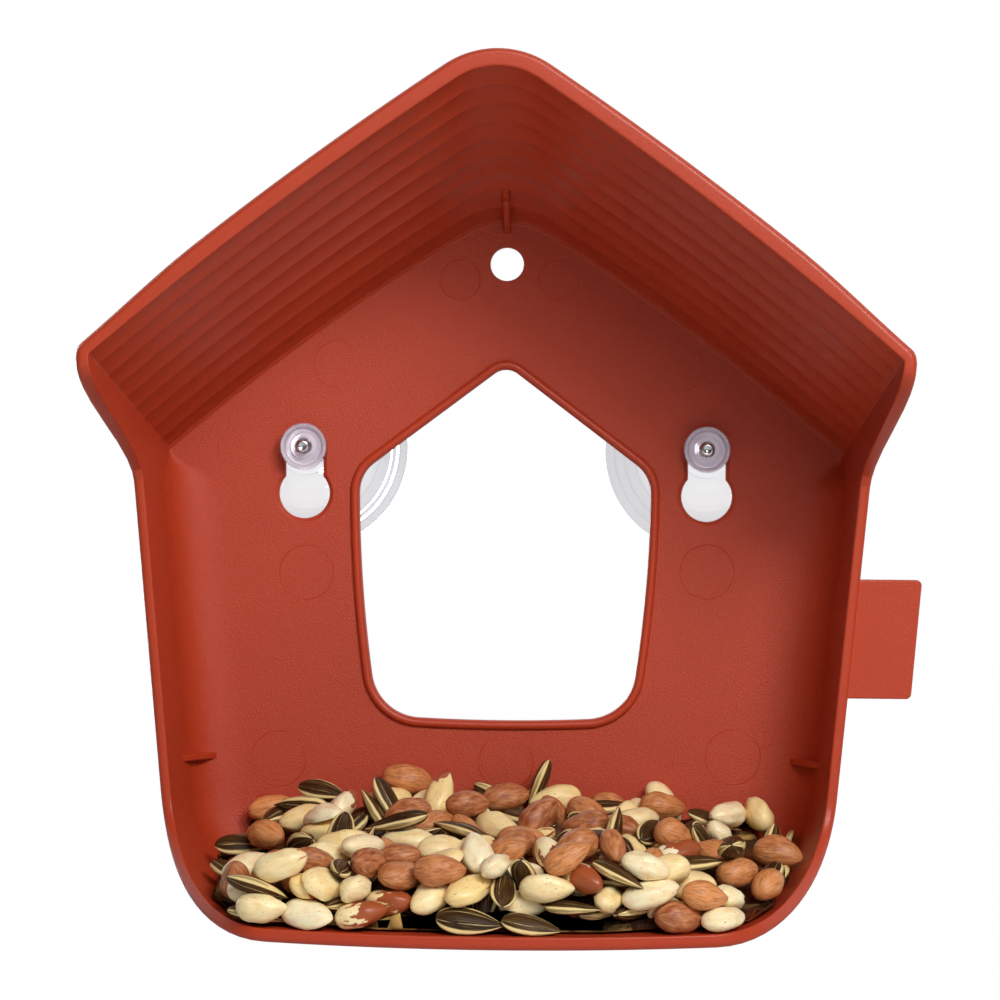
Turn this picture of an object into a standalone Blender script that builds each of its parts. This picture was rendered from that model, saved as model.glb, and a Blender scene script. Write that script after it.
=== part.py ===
# Window bird feeder: a one-piece moulded house that hangs on two suction cups.
# X runs to the right, Z up and Y towards the window pane. The pane is the plane Y = 0,
# and the origin lies on it, midway between the axes of the two suction cups.

import bpy
import bmesh
import math
from mathutils import Matrix, Vector
from mathutils.bvhtree import BVHTree

MM = 0.001

# Gaps between neighbouring pieces
GAP = 0.3 * MM
SEED_GAP = 0.6 * MM
KERNEL_GAP = 0.5 * MM
OVERRUN = 1.0 * MM
WELD = 0.003 * MM

# House: depths, measured from the panel's back face towards the room
STANDOFF = 15.0 * MM
DEPTH = 95.0 * MM
PANEL_WALL = 2.4 * MM
BACK_WALL = 2.6 * MM
RIM_WALL = 3.6 * MM
ROOF_RIM_EXTRA = 1.3 * MM
ROOF_RIM_RUN = 30.0 * MM

# House: the inner outline at the panel and at the front, heights from the screw axes
APEX_BACK_Z = 66.9 * MM
APEX_FRONT_Z = 101.2 * MM
EAVE_BACK_X = 94.4 * MM
EAVE_BACK_Z = -1.0 * MM
EAVE_FRONT_X = 105.0 * MM
EAVE_FRONT_Z = 22.3 * MM
FLOOR_BACK_X = 82.1 * MM
FLOOR_BACK_Z = -123.0 * MM
FLOOR_FRONT_X = 91.7 * MM
FLOOR_FRONT_Z = -124.5 * MM

# House: rounding of the inner outline, at the panel and at the front
APEX_BACK_R = 23.4 * MM
APEX_FRONT_R = 19.7 * MM
EAVE_R = 2.4 * MM
CORNER_BACK_R = 30.6 * MM
CORNER_FRONT_R = 38.3 * MM
ROOF_BACK_BOW = 2.65 * MM
ROOF_FRONT_BOW = 2.2 * MM
FLOOR_BOW = 2.4 * MM

# House: fillets to the panel and the rounding of the rim
ROOF_FILLET = 1.2 * MM
WALL_FILLET = 12.0 * MM
FILLET_RUN = 7.0 * MM
RIM_OUTER_R = 1.2 * MM
RIM_INNER_R = 0.5 * MM

# House: how far the side walls' edge lies behind the roof's edge, and where it runs back
SETBACK = 55.0 * MM
CUT_TOP_Z = 20.2 * MM
CUT_TOP_RUN = 30.0 * MM
CUT_FOOT_Z = -127.0 * MM
CUT_FOOT_RUN = 31.3 * MM

# Roof: rounded courses across its depth
COURSES = 9
COURSE_DEPTH = 0.6 * MM

# Window in the panel, with its bead: its shoulders lie this far inside the keyholes' axes
KEYHOLE_LAND = 15.6 * MM
WINDOW_TOP_Z = 23.3 * MM
WINDOW_SHOULDER_Z = -7.4 * MM
WINDOW_TAPER = 5.7 * MM
WINDOW_FOOT_Z = -74.8 * MM
WINDOW_TOP_R = 5.3 * MM
WINDOW_SHOULDER_R = 10.0 * MM
WINDOW_FOOT_R = 14.5 * MM
WINDOW_SIDE_BOW = 1.5 * MM
WINDOW_FOOT_BOW = 1.3 * MM
BEAD_WIDTH = 2.6 * MM
BEAD_HEIGHT = 1.5 * MM

# Hanging hole under the apex
HOLE_R = 4.65 * MM
HOLE_Z = 51.5 * MM

# Gussets: thin webs that tie the roof and the walls to the panel
GUSSET_WALL = 1.4 * MM
GUSSET_ROOT = 1.2 * MM
APEX_GUSSET_DEPTH = 22.0 * MM
APEX_GUSSET_DROP = 3.4 * MM
SIDE_GUSSET_DEPTH = 18.6 * MM
SIDE_GUSSET_WIDTH = 6.5 * MM
SIDE_GUSSET_Z = -86.6 * MM

# Side tag: a thin plate on the right-hand wall's edge
TAG_TOP_Z = -35.0 * MM
TAG_HEIGHT = 32.2 * MM
TAG_WIDTH = 16.6 * MM
TAG_LEAN = 2.8 * MM
TAG_WALL = 2.0 * MM
TAG_STEP = 1.0 * MM
TAG_CORNER_R = 1.5 * MM
TAG_ROOT = 1.6 * MM

# Suction cups
CUP_SPACING = 112.6 * MM
CUP_R = 28.5 * MM
CUP_LIP = 0.9 * MM
CUP_LIP_WIDTH = 3.0 * MM
CUP_WALL = 2.2 * MM
CUP_HOLLOW = 4.2 * MM
CUP_DOME_SHARE = 2 / 3
CUP_DOME_FALL_SHARE = 5 / 9
CUP_CROWN_SHARE = 1 / 3
CUP_CROWN_FALL_SHARE = 8 / 9
CUP_LIP_STEP = 0.7 * MM
CUP_SHOULDER_R = 12.0 * MM
CUP_SHOULDER_FALL = 1.1 * MM
CUP_SHOULDER_RISE = 8.0 * MM
NECK_R = 7.9 * MM
BOSS_R = 4.9 * MM
BOSS_STEP = 0.5 * MM

# Screws, set in the cups' necks
SCREW_R = 2.0 * MM
SCREW_HEAD_R = 4.2 * MM
SCREW_HEAD = 1.8 * MM
SCREW_TIP = 3.4 * MM
SCREW_CHAMFER = 0.5 * MM
SCREW_SEAT = 2.0 * MM

# Thumb nuts
NUT_R = 6.7 * MM
NUT_DEPTH = 5.0 * MM
NUT_TEETH = 32
NUT_TOOTH = 0.35 * MM
NUT_RIM = 1.3 * MM
NUT_DISH = 1.4 * MM
NUT_HUB_R = 3.6 * MM
NUT_HUB_RISE = 0.9 * MM
NUT_CHAMFER = 0.4 * MM
NUT_PASS = 0.3 * MM

# Keyholes: the nut passes the round hole, and the cup's boss runs up the slot
KEY_LIFT = 13.0 * MM

# Seed bed: heights of its top above the tray's floor
BED_BACK_RISE = 24.0 * MM
BED_FRONT_RISE = 5.0 * MM
BED_FRONT_EDGE = 7.0 * MM
BED_SIDE_EDGE = 13.0 * MM
BED_EDGE_DROP = 3.0 * MM
BED_LUMP = 0.9 * MM
BED_LUMP_PITCH = 15.0 * MM
BED_ROWS = 9
BED_COLUMNS = 18

# Loose kernels on the bed: length, width and thickness of each sort
SUNFLOWER_SIZE = (18.0 * MM, 7.6 * MM, 4.4 * MM)
PEANUT_SIZE = (14.0 * MM, 8.8 * MM, 8.2 * MM)
BLANCHED_SIZE = (15.0 * MM, 8.8 * MM, 7.4 * MM)
KERNEL_ROWS = 6
KERNEL_COLUMNS = 9
KERNEL_BACK = 11.5 * MM
KERNEL_FRONT = 11.5 * MM
KERNEL_SIDE = 9.5 * MM
KERNEL_PROBE = 4.9 * MM
KERNEL_STRAY = 1.6 * MM

# Loose kernels: how they stray from their grid, and how each sort narrows to one end
STRAY_TURNS_SHARES = (5.0, 7.0, 3.0)
HEADING_SHARE = 0.9
HEADING_TRIES = 8
KERNEL_TAPER_SHARES = {"sunflower_seed": 0.22, "peanut": 0.12, "blanched_peanut": 0.0}

# Colours, and how rough and how clear each surface is
TERRACOTTA = (0.42, 0.07, 0.04)
CLEAR_VINYL = (0.9, 0.92, 0.95)
ZINC = (0.7, 0.7, 0.72)
HUSK = (0.03, 0.025, 0.02)
PEANUT_SKIN = (0.35, 0.12, 0.06)
FLESH = (0.8, 0.62, 0.36)
FEED = (0.3, 0.2, 0.12)
SATIN_SHARE = 0.45
POLISHED_SHARE = 0.1
BRIGHT_SHARE = 0.3
DULL_SHARE = 0.6
CLEAR_SHARE = 0.9

# Facets
SETTLING_TURNS = 12
SMOOTHING_ANGLE = math.radians(35)
APEX_STEPS = 3
ROOF_STEPS = 4
EAVE_STEPS = 4
WALL_STEPS = 8
WALL_CROWDING = 1.7
CORNER_STEPS = 6
FLOOR_STEPS = 2
SIDE_STEPS = [ROOF_STEPS, WALL_STEPS, 2 * FLOOR_STEPS, WALL_STEPS, ROOF_STEPS]
TURN_STEPS = [2 * APEX_STEPS, EAVE_STEPS, CORNER_STEPS, CORNER_STEPS, EAVE_STEPS]
FILLET_STEPS = 3
RIM_STEPS = 2
INNER_COURSE_STEPS = 3
OUTER_COURSE_STEPS = 2
CUP_SIDES = 28
SCREW_SIDES = 14
KEY_STEPS = 10
GUSSET_STEPS = 5
TAG_STEPS = 4
BEAD_STEPS = 4
KERNEL_SIDES = 8
KERNEL_RINGS = 6


# Plane geometry
def mix(a, b, share):
    return a + (b - a) * share


def unit(vector):
    length = math.hypot(vector[0], vector[1])
    return (vector[0] / length, vector[1] / length)


def distance(a, b):
    return math.hypot(b[0] - a[0], b[1] - a[1])


def ease(share):
    share = min(1, max(0, share))
    return share * share * (3 - 2 * share)


def side_point(start, end, bow, share):
    """A point on the side from start to end, which bows out to the left of its direction."""
    along = unit((end[0] - start[0], end[1] - start[1]))
    push = 4 * bow * share * (1 - share)
    return (mix(start[0], end[0], share) - along[1] * push,
            mix(start[1], end[1], share) + along[0] * push)


def side_direction(start, end, bow, share):
    along = (end[0] - start[0], end[1] - start[1])
    length = math.hypot(along[0], along[1])
    slope = 4 * bow * (1 - 2 * share) / length
    return unit((along[0] - along[1] * slope, along[1] + along[0] * slope))


def corner_reach(radius, before, after):
    """How far a rounding of this radius reaches along each side of a corner."""
    turn = math.acos(max(-1, min(1, before[0] * after[0] + before[1] * after[1])))
    return radius * math.tan(turn / 2), turn


def corner_curve(first, before, last, after, turn, steps):
    """Points of a round corner from first to last, tangent to both sides."""
    chord = distance(first, last)
    handle = chord * (2 / 3) / (1 + math.cos(turn / 2))
    hold_a = (first[0] + before[0] * handle, first[1] + before[1] * handle)
    hold_b = (last[0] - after[0] * handle, last[1] - after[1] * handle)
    points = []
    for step in range(steps + 1):
        t = step / steps
        s = 1 - t
        weights = (s * s * s, 3 * s * s * t, 3 * s * t * t, t * t * t)
        nodes = (first, hold_a, hold_b, last)
        points.append((sum(w * n[0] for w, n in zip(weights, nodes)),
                       sum(w * n[1] for w, n in zip(weights, nodes))))
    return points


def rounded_outline(corners, radii, bows, side_steps, corner_steps, crowding=None):
    """A closed outline: straight or bowed sides joined by round corners.

    Crowding gives a power for each side. A positive power gathers the side's points near
    its start, and a negative one near its end.
    """
    count = len(corners)
    starts = []
    ends = []
    curves = []
    for index in range(count):
        last = corners[index - 1]
        here = corners[index]
        after = corners[(index + 1) % count]
        length_in = distance(last, here)
        length_out = distance(here, after)
        guess_in = side_direction(last, here, bows[index - 1], 1)
        guess_out = side_direction(here, after, bows[index], 0)
        reach = corner_reach(radii[index], guess_in, guess_out)[0]
        share_in = 1 - reach / length_in
        share_out = reach / length_out
        heading_in = side_direction(last, here, bows[index - 1], share_in)
        heading_out = side_direction(here, after, bows[index], share_out)
        turn = corner_reach(radii[index], heading_in, heading_out)[1]
        first = side_point(last, here, bows[index - 1], share_in)
        final = side_point(here, after, bows[index], share_out)
        curves.append(corner_curve(first, heading_in, final, heading_out, turn,
                                   corner_steps[index]))
        ends.append(share_in)
        starts.append(share_out)
    points = []
    for index in range(count):
        points.extend(curves[index])
        following = (index + 1) % count
        for step in range(1, side_steps[index]):
            place = step / side_steps[index]
            if crowding and crowding[index] > 0:
                place = place ** crowding[index]
            if crowding and crowding[index] < 0:
                place = 1 - (1 - place) ** -crowding[index]
            share = mix(starts[index], ends[following], place)
            points.append(side_point(corners[index], corners[following], bows[index], share))
    return points


def outline_normals(points):
    """Outward normals of a closed outline that runs clockwise."""
    normals = []
    for index in range(len(points)):
        before = points[index - 1]
        after = points[(index + 1) % len(points)]
        along = unit((after[0] - before[0], after[1] - before[1]))
        normals.append((-along[1], along[0]))
    return normals


# House sections
def depth_share(depth):
    return (depth - PANEL_WALL) / (DEPTH - PANEL_WALL)


def house_corners(depth):
    """Apex, right eave, right foot, left foot and left eave of the inner outline."""
    share = depth_share(depth)
    eave_x = mix(EAVE_BACK_X, EAVE_FRONT_X, share)
    eave_z = mix(EAVE_BACK_Z, EAVE_FRONT_Z, share)
    foot_x = mix(FLOOR_BACK_X, FLOOR_FRONT_X, share)
    foot_z = mix(FLOOR_BACK_Z, FLOOR_FRONT_Z, share)
    apex = (0, mix(APEX_BACK_Z, APEX_FRONT_Z, share))
    return [apex, (eave_x, eave_z), (foot_x, foot_z), (-foot_x, foot_z), (-eave_x, eave_z)]


def house_section(depth):
    """The inner outline at one depth, clockwise from the left end of the apex rounding."""
    share = depth_share(depth)
    apex_r = mix(APEX_BACK_R, APEX_FRONT_R, share)
    corner_r = mix(CORNER_BACK_R, CORNER_FRONT_R, share)
    bow = mix(ROOF_BACK_BOW, ROOF_FRONT_BOW, share)
    radii = [apex_r, EAVE_R, corner_r, corner_r, EAVE_R]
    bows = [bow, 0, FLOOR_BOW, 0, bow]
    crowding = [1, WALL_CROWDING, 1, -WALL_CROWDING, 1]
    return rounded_outline(house_corners(depth), radii, bows, SIDE_STEPS, TURN_STEPS, crowding)


def roof_columns():
    """For each column of a section, whether it lies on the roof."""
    right = [True] * (2 * APEX_STEPS + ROOF_STEPS + 1)
    wall = EAVE_STEPS + WALL_STEPS - 1
    foot = CORNER_STEPS + 1
    floor = 2 * FLOOR_STEPS - 1
    middle = [False] * (wall + foot + floor + foot + wall)
    return right + middle + [True] * ROOF_STEPS


def setback_at(height):
    """How far the rim lies behind the front plane at this height."""
    top = ease((CUT_TOP_Z - height) / CUT_TOP_RUN)
    foot = min(1, max(0, (height - CUT_FOOT_Z) / CUT_FOOT_RUN))
    return SETBACK * top * (1 - (1 - foot) * (1 - foot))


def rim_depths():
    """The depth at which each column of the house ends."""
    front = house_section(DEPTH)
    back = house_section(PANEL_WALL)
    on_roof = roof_columns()
    depths = []
    for index in range(len(front)):
        depth = DEPTH
        if not on_roof[index]:
            for turn in range(SETTLING_TURNS):
                height = mix(back[index][1], front[index][1], depth_share(depth))
                depth = DEPTH - setback_at(height)
        depths.append(depth)
    return depths


def fillet_radii():
    """The fillet between each column and the panel: small on the roof, large below it."""
    eave_z = EAVE_BACK_Z
    back = house_section(PANEL_WALL)
    radii = []
    for point, roof in zip(back, roof_columns()):
        share = 0 if roof else ease((eave_z - point[1]) / FILLET_RUN)
        radii.append(mix(ROOF_FILLET, WALL_FILLET, share))
    return radii


def wall_at(depth, thickening=0):
    return mix(BACK_WALL, RIM_WALL + thickening, depth_share(depth))


def roof_thickening():
    """What every column's wall gains at the rim: nothing at the eaves, most up the roof."""
    front = house_section(DEPTH)
    gains = []
    for point, roof in zip(front, roof_columns()):
        share = ease((EAVE_FRONT_X - abs(point[0])) / ROOF_RIM_RUN) if roof else 0
        gains.append(ROOF_RIM_EXTRA * share)
    return gains


def course_offset(depth):
    """How far a roof course is hollowed at this depth, zero on the ridges between courses."""
    place = depth_share(depth) * COURSES
    share = place - math.floor(place)
    return COURSE_DEPTH * 4 * share * (1 - share)


def section_table(depths):
    """Position and outward normal of every column at its own depth."""
    table = []
    for index, depth in enumerate(depths):
        points = house_section(depth)
        normals = outline_normals(points)
        table.append((points[index], normals[index]))
    return table


def house_ring(depths, offsets):
    """One ring of the house: each column at its depth, pushed out along its normal."""
    ring = []
    for (point, normal), depth, offset in zip(section_table(depths), depths, offsets):
        ring.append((point[0] + normal[0] * offset, -STANDOFF - depth,
                     point[1] + normal[1] * offset))
    return ring


def skin_rings(rims, starts, ends, course_steps, outside):
    """Rings along one skin from the panel to the rim: on the roof they follow its courses."""
    on_roof = roof_columns()
    gains = roof_thickening()
    rings = []
    total = COURSES * course_steps
    for step in range(total + 1):
        depths = []
        offsets = []
        for index, rim in enumerate(rims):
            dip = 0
            depth = mix(starts[index], rim - ends, step / total)
            if on_roof[index]:
                reach = mix(PANEL_WALL, rim, step / total)
                depth = min(rim - ends, max(starts[index], reach))
                dip = course_offset(depth) if step < total else 0
            depths.append(depth)
            offsets.append(dip + (wall_at(depth, gains[index]) if outside else 0))
        rings.append(house_ring(depths, offsets))
    return rings


def panel_rings(radii, level, outside):
    """Rings of the fillet between the panel's face at this depth and the walls."""
    rings = []
    gains = roof_thickening()
    for step in range(FILLET_STEPS):
        angle = math.pi / 2 * step / FILLET_STEPS
        depths = [level + radius * (1 - math.cos(angle)) for radius in radii]
        offsets = []
        for radius, depth, gain in zip(radii, depths, gains):
            skin = wall_at(depth, gain) if outside else 0
            offsets.append(skin - radius * (1 - math.sin(angle)))
        rings.append(house_ring(depths, offsets))
    return rings


def rim_rings(rims):
    """Rings round the rim, from the outer skin to the inner one."""
    rings = []
    gains = roof_thickening()
    for step in range(1, RIM_STEPS + 1):
        angle = math.pi / 2 * step / RIM_STEPS
        depths = [rim - RIM_OUTER_R * (1 - math.sin(angle)) for rim in rims]
        cut = RIM_OUTER_R * (1 - math.cos(angle))
        offsets = [wall_at(depth, gain) - cut for depth, gain in zip(depths, gains)]
        rings.append(house_ring(depths, offsets))
    for step in range(RIM_STEPS):
        angle = math.pi / 2 * step / RIM_STEPS
        depths = [rim - RIM_INNER_R * (1 - math.cos(angle)) for rim in rims]
        offsets = [RIM_INNER_R * (1 - math.sin(angle)) for depth in depths]
        rings.append(house_ring(depths, offsets))
    return rings


# Mesh helpers
def new_object(name, mesh, material):
    thing = bpy.data.objects.new(name, mesh)
    bpy.context.scene.collection.objects.link(thing)
    if material:
        mesh.materials.append(material)
    return thing


def mesh_from_rings(name, rings, closed_ends=True, triangles=False):
    """A mesh through rings of equal length, each joined to the next."""
    mesh = bpy.data.meshes.new(name)
    work = bmesh.new()
    rows = [[work.verts.new(point) for point in ring] for ring in rings]
    for row, following in zip(rows, rows[1:]):
        for index in range(len(row)):
            after = (index + 1) % len(row)
            work.faces.new((row[index], row[after], following[after], following[index]))
    if closed_ends:
        work.faces.new(rows[0])
        work.faces.new(rows[-1])
    bmesh.ops.remove_doubles(work, verts=work.verts, dist=WELD)
    bmesh.ops.dissolve_degenerate(work, edges=work.edges, dist=WELD)
    bmesh.ops.recalc_face_normals(work, faces=work.faces)
    if work.calc_volume(signed=True) < 0:
        bmesh.ops.reverse_faces(work, faces=work.faces)
    if triangles:
        bmesh.ops.triangulate(work, faces=work.faces)
    work.to_mesh(mesh)
    work.free()
    return mesh


def smooth(mesh):
    mesh.shade_smooth()
    mesh.set_sharp_from_angle(angle=SMOOTHING_ANGLE)


def prism(name, outline, axis_low, axis_high, place):
    """A closed prism: place turns an outline point and a level into a position."""
    rings = [[place(point, level) for point in outline] for level in (axis_low, axis_high)]
    return mesh_from_rings(name, rings)


def prisms(name, outlines, axis_low, axis_high, place):
    """Several closed prisms between the same levels in one mesh."""
    work = bmesh.new()
    for outline in outlines:
        single = prism(name, outline, axis_low, axis_high, place)
        work.from_mesh(single)
        bpy.data.meshes.remove(single)
    mesh = bpy.data.meshes.new(name)
    work.to_mesh(mesh)
    work.free()
    return mesh


def as_cutter(thing):
    thing.hide_render = True
    thing.display_type = 'WIRE'
    return thing


def combine(target, tool, operation):
    step = target.modifiers.new(tool.name, 'BOOLEAN')
    step.object = tool
    step.operation = operation
    step.solver = 'EXACT'


def arc(centre, radius, start, end, steps):
    return [(centre[0] + radius * math.cos(mix(start, end, step / steps)),
             centre[1] + radius * math.sin(mix(start, end, step / steps)))
            for step in range(steps + 1)]


def on_panel(point, depth):
    return (point[0], -STANDOFF - depth, point[1])


# Materials
def plastic(name, colour, roughness, transmission=0):
    material = bpy.data.materials.new(name)
    material.use_nodes = True
    shader = material.node_tree.nodes["Principled BSDF"]
    shader.inputs["Base Color"].default_value = (*colour, 1)
    shader.inputs["Roughness"].default_value = roughness
    shader.inputs["Transmission Weight"].default_value = transmission
    return material


def steel(name, colour, roughness):
    material = plastic(name, colour, roughness)
    shader = material.node_tree.nodes["Principled BSDF"]
    shader.inputs["Metallic"].default_value = 1
    return material


# House shell
def house_mesh():
    rims = rim_depths()
    radii = fillet_radii()
    outer_radii = [radius + BACK_WALL for radius in radii]
    outer_starts = outer_radii
    inner_starts = [PANEL_WALL + radius for radius in radii]
    rings = panel_rings(outer_radii, 0, True)
    rings += skin_rings(rims, outer_starts, RIM_OUTER_R, OUTER_COURSE_STEPS, True)
    rings += rim_rings(rims)
    inner = skin_rings(rims, inner_starts, RIM_INNER_R, INNER_COURSE_STEPS, False)
    inner.reverse()
    rings += inner
    corner = panel_rings(radii, PANEL_WALL, False)
    corner.reverse()
    rings += corner
    rings += window_rings()
    return mesh_from_rings("house_shell", rings + [rings[0]], closed_ends=False)


def window_outline():
    shoulder_x = CUP_SPACING / 2 - KEYHOLE_LAND
    foot_x = shoulder_x - WINDOW_TAPER
    corners = [(0, WINDOW_TOP_Z), (shoulder_x, WINDOW_SHOULDER_Z), (foot_x, WINDOW_FOOT_Z),
               (-foot_x, WINDOW_FOOT_Z), (-shoulder_x, WINDOW_SHOULDER_Z)]
    radii = [WINDOW_TOP_R, WINDOW_SHOULDER_R, WINDOW_FOOT_R, WINDOW_FOOT_R, WINDOW_SHOULDER_R]
    bows = [0, WINDOW_SIDE_BOW, WINDOW_FOOT_BOW, WINDOW_SIDE_BOW, 0]
    return rounded_outline(corners, radii, bows, SIDE_STEPS, TURN_STEPS)


def window_rings():
    """Rings from the panel's room side over the window's bead and through the window."""
    outline = window_outline()
    normals = outline_normals(outline)
    levels = []
    for step in range(BEAD_STEPS + 1):
        angle = math.pi * (1 - step / BEAD_STEPS)
        levels.append((BEAD_WIDTH * (1 - math.cos(angle)) / 2,
                       PANEL_WALL + BEAD_HEIGHT * math.sin(angle)))
    levels.append((0, 0))
    return [[on_panel((p[0] + n[0] * offset, p[1] + n[1] * offset), depth)
             for p, n in zip(outline, normals)] for offset, depth in levels]


def keyhole_outline(x):
    slot = BOSS_R + GAP
    hole = NUT_R + NUT_PASS
    drop = math.sqrt(hole * hole - slot * slot)
    meet = math.asin(slot / hole)
    up = math.pi / 2
    lower = arc((x, -KEY_LIFT), hole, up - meet, up + meet - 2 * math.pi, 2 * KEY_STEPS)
    upper = arc((x, 0), slot, math.pi, 0, KEY_STEPS)
    if KEY_LIFT - drop < 0:
        return lower
    return lower + upper


def apex_gusset():
    """Side outline of the web under the ridge, as height and depth."""
    corner = APEX_BACK_Z
    reach = PANEL_WALL + APEX_GUSSET_DEPTH
    ridge = house_section(reach)[APEX_STEPS][1]
    top = house_section(PANEL_WALL)[APEX_STEPS][1]
    return [(corner + GUSSET_ROOT, PANEL_WALL - GUSSET_ROOT),
            (ridge + GUSSET_ROOT, reach),
            (ridge, reach),
            (top - APEX_GUSSET_DROP, PANEL_WALL),
            (top - APEX_GUSSET_DROP, PANEL_WALL - GUSSET_ROOT)]


def wall_x(height, depth):
    """The inner wall's distance from the middle at this height and depth."""
    corners = house_corners(depth)
    eave, foot = corners[1], corners[2]
    return mix(foot[0], eave[0], (height - foot[1]) / (eave[1] - foot[1]))


def side_gusset():
    """Top view of the web between a wall and the panel, as width and depth."""
    reach = PANEL_WALL + SIDE_GUSSET_DEPTH
    root_x = wall_x(SIDE_GUSSET_Z, PANEL_WALL)
    tip_x = wall_x(SIDE_GUSSET_Z, reach)
    centre = (root_x - WALL_FILLET, PANEL_WALL + WALL_FILLET)
    radius = WALL_FILLET + GUSSET_ROOT
    end = -math.acos((WALL_FILLET - SIDE_GUSSET_WIDTH) / radius)
    root = arc(centre, radius, 0, end, GUSSET_STEPS)
    return [(tip_x + GUSSET_ROOT, reach)] + root + [(tip_x, reach)]


def tag_outline():
    """Front outline of the side tag, clockwise from its upper root."""
    foot_z = TAG_TOP_Z - TAG_HEIGHT
    depth = DEPTH - SETBACK - TAG_STEP
    top_x = wall_x(TAG_TOP_Z, depth) + wall_at(depth)
    foot_x = wall_x(foot_z, depth) + wall_at(depth)
    far_top = (top_x + TAG_WIDTH, TAG_TOP_Z)
    far_foot = (top_x + TAG_WIDTH - TAG_LEAN, foot_z)
    upper = corner_round(far_top, (1, 0), unit((far_foot[0] - far_top[0],
                                                far_foot[1] - far_top[1])))
    lower = corner_round(far_foot, unit((far_foot[0] - far_top[0],
                                         far_foot[1] - far_top[1])), (-1, 0))
    return [(top_x - TAG_ROOT, TAG_TOP_Z)] + upper + lower + [(foot_x - TAG_ROOT, foot_z)]


def corner_round(corner, before, after):
    reach, turn = corner_reach(TAG_CORNER_R, before, after)
    first = (corner[0] - before[0] * reach, corner[1] - before[1] * reach)
    last = (corner[0] + after[0] * reach, corner[1] + after[1] * reach)
    return corner_curve(first, before, last, after, turn, TAG_STEPS)


def make_house(material):
    shell = new_object("house_shell", house_mesh(), material)
    add_gussets(shell)
    depth = DEPTH - SETBACK - TAG_STEP
    tag = prism("add_tag", tag_outline(), depth - TAG_WALL, depth, on_panel)
    combine(shell, as_cutter(new_object("add_tag", tag, None)), 'UNION')
    outlines = [keyhole_outline(-CUP_SPACING / 2), keyhole_outline(CUP_SPACING / 2),
                arc((0, HOLE_Z), HOLE_R, 0, 2 * math.pi, 2 * KEY_STEPS)[:-1]]
    through = PANEL_WALL + BEAD_HEIGHT + OVERRUN
    holes = prisms("cut_panel_holes", outlines, -OVERRUN, through, on_panel)
    combine(shell, as_cutter(new_object("cut_panel_holes", holes, None)), 'DIFFERENCE')
    smooth(shell.data)
    return shell


def add_gussets(shell):
    half = GUSSET_WALL / 2
    web = prism("add_apex_gusset", apex_gusset(), -half, half,
                lambda point, level: (level, -STANDOFF - point[1], point[0]))
    combine(shell, as_cutter(new_object("add_apex_gusset", web, None)), 'UNION')
    for name, sign in (("add_left_gusset", -1), ("add_right_gusset", 1)):
        web = prism(name, side_gusset(), SIDE_GUSSET_Z - half, SIDE_GUSSET_Z + half,
                    lambda point, level, sign=sign: (sign * point[0], -STANDOFF - point[1],
                                                     level))
        combine(shell, as_cutter(new_object(name, web, None)), 'UNION')


# Turned pieces: a profile of radius and distance from the pane, turned about its own Y axis
def turned_rings(profile, sides, radius_at=None):
    rings = []
    for radius, reach in profile:
        ring = []
        for index in range(sides):
            angle = 2 * math.pi * index / sides
            size = radius_at(radius, index) if radius_at else radius
            ring.append((size * math.cos(angle), -reach, size * math.sin(angle)))
        rings.append(ring)
    return rings


def screw_seat():
    """Distance from the pane to the back of the screw's head, inside the neck."""
    return CUP_HOLLOW + SCREW_SEAT


def cup_profile():
    """From the hollow's centre over the lip and the dome to the boss, then down the screw's seat."""
    face = STANDOFF - GAP
    boss = STANDOFF + PANEL_WALL - GAP
    lip = CUP_R - CUP_LIP_WIDTH
    bore = SCREW_R + GAP
    head = SCREW_HEAD_R + GAP
    seat = screw_seat() - GAP
    shoulder = CUP_SHOULDER_RISE
    dome_r = lip * CUP_DOME_SHARE
    dome = CUP_HOLLOW * CUP_DOME_FALL_SHARE
    return [(0, CUP_HOLLOW), (lip * CUP_CROWN_SHARE, CUP_HOLLOW * CUP_CROWN_FALL_SHARE),
            (dome_r, dome), (lip, 0), (CUP_R, 0), (CUP_R, CUP_LIP),
            (lip, CUP_LIP + CUP_LIP_STEP), (dome_r, dome + CUP_WALL),
            (CUP_SHOULDER_R, shoulder - CUP_SHOULDER_FALL), (NECK_R + BOSS_STEP, shoulder),
            (NECK_R, shoulder + BOSS_STEP), (NECK_R, face), (BOSS_R, face), (BOSS_R, boss),
            (bore, boss), (bore, screw_seat() + SCREW_HEAD + GAP),
            (head, screw_seat() + SCREW_HEAD + GAP), (head, seat), (0, seat)]


def screw_profile():
    back = screw_seat()
    end = STANDOFF + PANEL_WALL + GAP + NUT_DEPTH + SCREW_TIP - NUT_DISH
    return [(0, back), (SCREW_HEAD_R, back), (SCREW_HEAD_R, back + SCREW_HEAD),
            (SCREW_R, back + SCREW_HEAD), (SCREW_R, end - SCREW_CHAMFER),
            (SCREW_R - SCREW_CHAMFER, end), (0, end)]


def nut_profile():
    """From the bore's back over the knurled edge and the dished face to the bore's front."""
    back = STANDOFF + PANEL_WALL + GAP
    front = back + NUT_DEPTH
    bore = SCREW_R + GAP
    inner = NUT_R - NUT_RIM
    floor = front - NUT_DISH
    hub = floor + NUT_HUB_RISE
    return [(bore, back), (NUT_R - NUT_TOOTH - NUT_CHAMFER, back), (NUT_R, back + NUT_CHAMFER),
            (NUT_R, front - NUT_CHAMFER), (NUT_R - NUT_TOOTH - NUT_CHAMFER, front),
            (inner, front - NUT_CHAMFER), (inner - NUT_CHAMFER, floor), (NUT_HUB_R, floor),
            (NUT_HUB_R - NUT_CHAMFER, hub), (bore, hub)]


def knurl(radius, index):
    """Every second column of the outermost rings lies in a groove between two teeth."""
    outermost = radius > NUT_R - NUT_TOOTH / 2
    return radius - NUT_TOOTH if outermost and index % 2 else radius


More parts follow.
